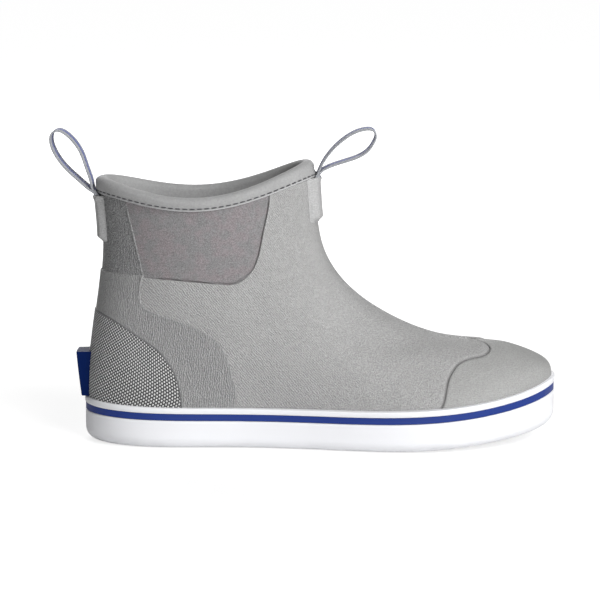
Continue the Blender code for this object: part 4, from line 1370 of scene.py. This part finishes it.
def makeCollarTrim():
    shape = collarShape
    piece = Piece()
    away = outward(collarAngles, levelBelowRim(collarAngles, shaftShape["drop"]))
    line = collarPoints(shape["weltOut"], shape["weltLine"])
    tube(piece, line, away, shape["weltRadius"], sides=10, closed=True)
    piece.make("collar_welt", "welt")
    piece = Piece()
    total = collarRun()
    count = round(total[-1] / shape["stitchPitch"])
    line = collarPoints(shape["stitchOut"], shape["stitchLine"])
    line = np.concatenate([line, line[:1]])
    normal = outward(collarAngles, levelBelowRim(collarAngles, -shape["stitchLine"]))
    normal = np.concatenate([normal, normal[:1]])
    along = np.linspace(-0.5, 0.5, 9)
    size = np.sqrt(1 - (2 * np.abs(along))**4)
    dip = (2 * np.abs(along))**3 * shape["stitchSink"]
    for i in range(count):
        places = (i + 0.5) * total[-1] / count + along * shape["stitchLength"]
        path = np.stack([np.interp(places, total, line[:, k]) for k in range(3)], axis=-1)
        out = np.stack([np.interp(places, total, normal[:, k]) for k in range(3)], axis=-1)
        tube(piece, path - out * dip[:, None], out, shape["stitchRadius"] * size, sides=7)
    piece.make("collar_stitches", "thread")


def makeLining():
    shape = {"outer": -3.1, "inner": -5.45, "top": 0.965, "columns": 190, "rows": 96,
             "slack": 0.18}
    angle = np.linspace(0, turn, shape["columns"], endpoint=False)
    level = np.linspace(0.0, shape["top"], shape["rows"])[:, None]
    angle = angle + 0 * level
    level = level + 0 * angle
    base = lastPoints(angle, level)
    way = outward(angle, level)
    run = base[..., 2] * 0.8 + base[..., 0] * 0.35      # the cloth's slack waves lie aslant
    slack = shape["slack"] * np.sin(run / 7.0 + 2.2 * np.sin(base[..., 1] / 11.0))
    piece = Piece()
    layered(piece, base, way, shape["outer"] + 0 * slack, shape["inner"] + slack, wrap=True)
    return piece.make("sock_lining", "lining", nodes=["lining"])


def makeFootbedCover():
    shape = {"inset": 6.0, "thickness": 1.0, "lip": 3.0, "dish": 12.0, "core": 36.0,
             "edge": 0.35, "shares": (0.0, 0.2, 0.4, 0.55, 0.68, 0.78, 0.86, 0.92, 0.96, 1.0)}
    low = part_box("footbed_cover")[0].z / mm
    angle = np.linspace(0, turn, 220, endpoint=False)
    edge = skin(angle, 0.0, -shape["inset"])
    core = centreRing(edge, shape["core"])
    layers = []
    for side in (0.0, shape["thickness"]):
        rings = []
        for share in shape["shares"]:
            ring = core + (edge - core) * share
            inward = np.linalg.norm((edge - ring)[:, :2], axis=1)
            dish = shape["lip"] * smoothStep(shape["dish"], 0.0, inward)
            swell = -shape["edge"] * (share == 1.0) * (1 if side else -1)
            ring[:, 2] = springOf(ring[:, 0]) + low + dish + side + swell
            rings.append(ring)
        layers.append(rings)
    piece = Piece()
    piece.grid(np.stack(layers[0] + layers[1][::-1]), wrapColumns=True)
    made = piece.make("footbed_top", "lining", nodes=["footbed_cover"])
    return made


makeGores()
makeRearPanel()
makeBinding()
makeCollarTrim()
makeLining()
makeFootbedCover()
print("shaft made")

# Pull loops. A path is outward and up from the line where the loop folds.
pullShape = {
    "front": {
        "angle": 0.0, "way": 1, "patchWidth": 30.0, "patchLength": 28.0,
        "sideSoft": 6.0, "raise": 1.5,
        "path": ((-1.9, 1.0), (0.7, 6.9), (5.6, 14.3), (12.1, 21.0), (20.3, 26.7),
                 (28.6, 29.4), (33.6, 28.7), (35.2, 25.5), (33.9, 21.2), (30.6, 16.3),
                 (24.8, 12.2), (17.2, 9.4), (9.6, 7.0), (3.4, 4.5), (-0.6, 1.3)),
        "node": "front_pull_loop",
    },
    "rear": {
        "angle": math.pi, "way": -1, "patchWidth": 26.0, "patchLength": 30.0,
        "sideSoft": 1.6, "raise": 0.4,
        "path": ((-0.7, 0.9), (0.5, 5.2), (2.4, 12.0), (4.4, 18.0), (6.4, 23.8), (9.4, 29.4),
                 (13.2, 34.1), (17.6, 37.8), (21.8, 39.2), (25.0, 37.6), (26.2, 33.3),
                 (24.2, 26.0), (20.4, 19.6), (14.6, 13.0), (8.1, 7.0), (0.8, 0.8)),
        "node": "rear_pull_loop",
    },
}
strapShape = {
    "width": 18.0,
    "thickness": 1.2,
    "pivotOut": 3.9,
    "tuck": 13.0,           # length of the webbing's ends under the patch
    "layers": (1.25, 2.5),  # how far out of the last its two ends lie there
    "hug": 1.15,            # how far its sides lean in to the round shaft there
    "step": 0.24,
    "bevel": 0.35,
    "serration": 0.16,
    "ribRelief": 0.05,
    "blend": 2.4,           # half the height of a span about the fold, worked out but not used
}
patchShape = {
    "clear": 2.2,           # from the collar's flap to the patch
    "ramp": 3.8,
    "skin": 0.8,
    "edge": 0.09,           # thickness of its thin edge, and the gap behind it
    "corner": 2.6,
    "shoulder": 0.4,        # from the webbing's edge to where the patch comes down beside it
    "slack": 0.5,
    "radius": 0.8,
    "roll": 0.75,           # height of the turned-over top end, its place and its width
    "rollIn": 1.5,
    "rollWidth": 1.1,
    "grid": 0.8,
}


def foldPoint(pull):
    rim = np.array([pull["angle"]])
    fold = levelBelowRim(rim, shaftShape["drop"])[0]
    face = skin(rim, np.array([fold]), 0)[0]
    return face + (pull["way"] * strapShape["pivotOut"], 0, 0)


def makePatch(side, pull):
    shape = patchShape
    centre = np.array([pull["angle"]])
    drop = shaftShape["drop"] + shape["clear"]
    length = pull["patchLength"]
    top = levelBelowRim(centre, drop - pull["raise"])[0]
    bottom = levelBelowRim(centre, drop + length)[0]
    perMm = anglePerMm(pull["angle"], (top + bottom) / 2)
    half = pull["patchWidth"] / 2
    across = (edgedShares(2 * half, shape["grid"], 1.0) - 0.5) * 2 * half
    up = edgedShares(length, shape["grid"], 1.0)[:, None]
    height = up * length
    # the lower corners are rounded off by drawing the sides in
    corner = shape["corner"]
    past = np.sqrt(np.maximum(corner**2 - (corner - height)**2, 0))
    width = 1 - np.where(height < corner, corner - past, 0) / half
    spots = across * width
    shelf = strapShape["width"] / 2 + shape["shoulder"]
    edge = smoothStep(half - 0.6, shelf - 0.6, np.abs(across)) + 0 * height
    climb = smoothStep(0.4, shape["ramp"], height)
    lift = (2 * strapShape["thickness"] + shape["slack"]) * edge * climb
    angle = pull["angle"] + spots * perMm
    level = bottom + (top - bottom) * up + 0 * angle
    near = np.minimum(height, length - height)
    sideRise = smoothStep(0, pull["sideSoft"], half * width - np.abs(spots))
    roll = np.exp(-((length - height - shape["rollIn"]) / shape["rollWidth"])**2)
    inner = shape["edge"] + lift
    full = (shape["skin"] - shape["edge"]) * rounded(near, shape["radius"]) * sideRise
    offset = inner + shape["edge"] + full + shape["roll"] * roll * edge
    piece = Piece()
    layered(piece, lastPoints(angle, level), outward(angle, level), offset, inner)
    return piece.make(side + "_patch", "patch",
                      nodes=[side + "_loop_patch"])


def strapLine(pull, fold):
    # the webbing's middle line, outward and up from the fold, and the distance along it
    shape = strapShape
    drops = np.linspace(shape["tuck"], 1.4, 7)
    centre = np.full(len(drops), pull["angle"])
    levels = levelBelowRim(centre, shaftShape["drop"] + drops)
    legs = []
    for offset in shape["layers"]:
        leg = skin(centre, levels, offset) - fold
        legs.append(np.stack([leg[:, 0] * pull["way"], leg[:, 2]], axis=-1))
    full = np.concatenate([legs[0], np.array(pull["path"]), legs[1][::-1]])
    run = np.concatenate([[0], np.linalg.norm(np.diff(full, axis=0), axis=1).cumsum()])
    places = np.linspace(0, run[-1], int(run[-1] / shape["step"]))
    return splineWeights(run, places) @ full, places


def strapSection():
    # points round the webbing's section: millimetres across it and shares of its thickness
    half, bevel = strapShape["width"] / 2, strapShape["bevel"]
    low = [(-half, bevel - 0.5), (-half + bevel, -0.5), (-half * 0.55, -0.5), (0, -0.5),
           (half * 0.55, -0.5), (half - bevel, -0.5), (half, bevel - 0.5)]
    return low + [(-y, -h) for y, h in low]


def makeStrap(side, pull):
    # one length of webbing: up out of its patch, round the loop and back down
    shape = strapShape
    fold = foldPoint(pull)
    way = pull["way"]
    line, places = strapLine(pull, fold)
    tangent = unit(np.gradient(line, axis=0))
    normal = np.stack([-tangent[:, 1], tangent[:, 0]], axis=-1)
    half = shape["width"] / 2
    rib = np.cos(turn * places / webbingLook["rib"])
    buried = smoothStep(2.0, -3.0, line[:, 1])      # under the patch the strap hugs the shaft
    rings, lays = [], []
    for y, h in strapSection():
        edge = smoothStep(half - 1.2, half, abs(y))
        out = y + math.copysign(1, y) * shape["serration"] * rib * edge
        thick = h * shape["thickness"] + math.copysign(shape["ribRelief"], h) * rib
        across = line + normal * thick[:, None]
        sag = (y / half)**2 * shape["hug"] * buried
        rings.append(np.stack([fold[0] + way * (across[:, 0] - sag),
                               fold[1] + out, fold[2] + across[:, 1]], axis=-1))
        lays.append(np.stack([places, 0 * places + y, 0 * places + h * 10], axis=-1))
    grid = np.stack(rings, axis=1)
    lay = np.stack(lays, axis=1)
    ends = [grid[:1].mean(axis=1, keepdims=True) + 0 * grid[:1],
            grid[-1:].mean(axis=1, keepdims=True) + 0 * grid[-1:]]
    grid = np.concatenate([ends[0], grid, ends[1]])
    lay = np.concatenate([lay[:1], lay, lay[-1:]])
    piece = Piece()
    piece.grid(grid, wrapColumns=True, weave=lay)
    made = piece.make(side + "_webbing", "webbing", body=None,
                      nodes=[pull["node"], side + "_loop_tail"])
    pivot = (fold + lastOrigin) * mm
    reach = np.array((0, 0, shape["blend"])) * mm
    tuple(pivot - reach)
    tuple(pivot + reach)
    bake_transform(made)
    return made


for side, pull in pullShape.items():
    makePatch(side, pull)
    makeStrap(side, pull)
print("pull loops made")

# Hidden layers keep their modelled shapes.
hiddenFinishes = {"midsole": "foam", "footbed": "foam", "insole_board": "board",
                  "shank": "glass"}
for node, finish in hiddenFinishes.items():
    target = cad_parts[node]
    target.data.materials.clear()
    target.data.materials.append(finishes[finish])

studio = {
    "target": (138.0, 0.0, 90.0),
    "distance": 1400.0,
    "elevation": 9.8,
    "lens": 129.24,
    # colour and glow of the floor: as seen, and as it lights the boot
    "floorSeen": ((0.36, 0.36, 0.36), (0.74, 0.74, 0.74)),
    "floorFar": (0.97, 0.97, 0.97),
    "floorLights": ((0.80, 0.80, 0.80), (0.03, 0.03, 0.03)),
    "farFrom": (0.2, 0.9),
    "sky": 0.05,
    "aim": (0.0, 0.0, 0.07),
    # place and size in metres, and power in watts
    "lights": {
        "key": ((1.3, -1.5, 1.5), (1.5, 1.5), 60.0),
        "fill": ((0.55, -2.3, 0.26), (1.4, 0.8), 17.5),
        "back": ((-0.5, 2.2, 0.9), (1.8, 1.4), 36.0),
    },
}


def makeCamera():
    camera = bpy.data.cameras.new("camera")
    camera.lens = studio["lens"]
    camera.sensor_width = 36.0
    camera.clip_start = 0.01
    camera.clip_end = 60.0
    made = bpy.data.objects.new("camera", camera)
    bpy.context.scene.collection.objects.link(made)
    tilt = math.radians(studio["elevation"])
    back = Vector((0, -math.cos(tilt), math.sin(tilt)))
    target = Vector((np.array(studio["target"]) + lastOrigin) * mm)
    made.location = target + back * studio["distance"] * mm
    made.rotation_euler = (-back).to_track_quat("-Z", "Y").to_euler()
    bpy.context.scene.camera = made


def makeFloor():
    bpy.ops.mesh.primitive_circle_add(vertices=96, radius=12.0, fill_type="NGON",
                                      location=(0, 0, -0.3 * mm))
    floor = bpy.context.object
    floor.name = "studio_floor"
    finish = Finish("floor", 0.8)
    point = finish.node("ShaderNodeTexCoord", {}, {}, "Object")
    reach = finish.node("ShaderNodeVectorMath", {"operation": "LENGTH"}, {0: point}, "Value")
    seen = finish.node("ShaderNodeLightPath", {}, {}, "Is Camera Ray")
    near, glow = studio["floorSeen"]
    colour, dim = studio["floorLights"]
    far = finish.between(*studio["farFrom"], reach)
    glow = finish.mix(far, glow, studio["floorFar"])
    finish.set("Base Color", finish.mix(seen, colour, near))
    finish.set("Emission Color", finish.mix(seen, dim, glow))
    finish.set("Emission Strength", 1.0)
    below = finish.node("ShaderNodeNewGeometry", {}, {}, "Backfacing")
    finish.set("Alpha", 1 - below)      # the sole shows from underneath
    floor.data.materials.append(finish.material)


def makeLight(name, place, size, power):
    light = bpy.data.lights.new(name, "AREA")
    light.shape = "RECTANGLE"
    light.size, light.size_y = size
    light.energy = power
    made = bpy.data.objects.new(name, light)
    bpy.context.scene.collection.objects.link(made)
    made.location = place
    aim = Vector(studio["aim"]) - Vector(place)
    made.rotation_euler = aim.to_track_quat("-Z", "Y").to_euler()


def makeWorld():
    # the camera sees white, and the boot gets a little light from all round
    world = bpy.data.worlds.new("studio")
    bpy.context.scene.world = world
    shading = Shading(world)
    seen = shading.node("ShaderNodeLightPath", {}, {}, "Is Camera Ray")
    strength = shading.node("ShaderNodeMath", {"operation": "MAXIMUM"},
                            {0: studio["sky"], 1: seen})
    background = shading.tree.nodes["Background"]
    shading.plug(strength, background.inputs["Strength"])
    shading.plug((1.0, 1.0, 1.0), background.inputs["Color"])


makeCamera()
makeFloor()
for name, (place, size, power) in studio["lights"].items():
    makeLight(name, place, size, power)
makeWorld()
bpy.context.scene.view_settings.view_transform = "Standard"
print("studio made")
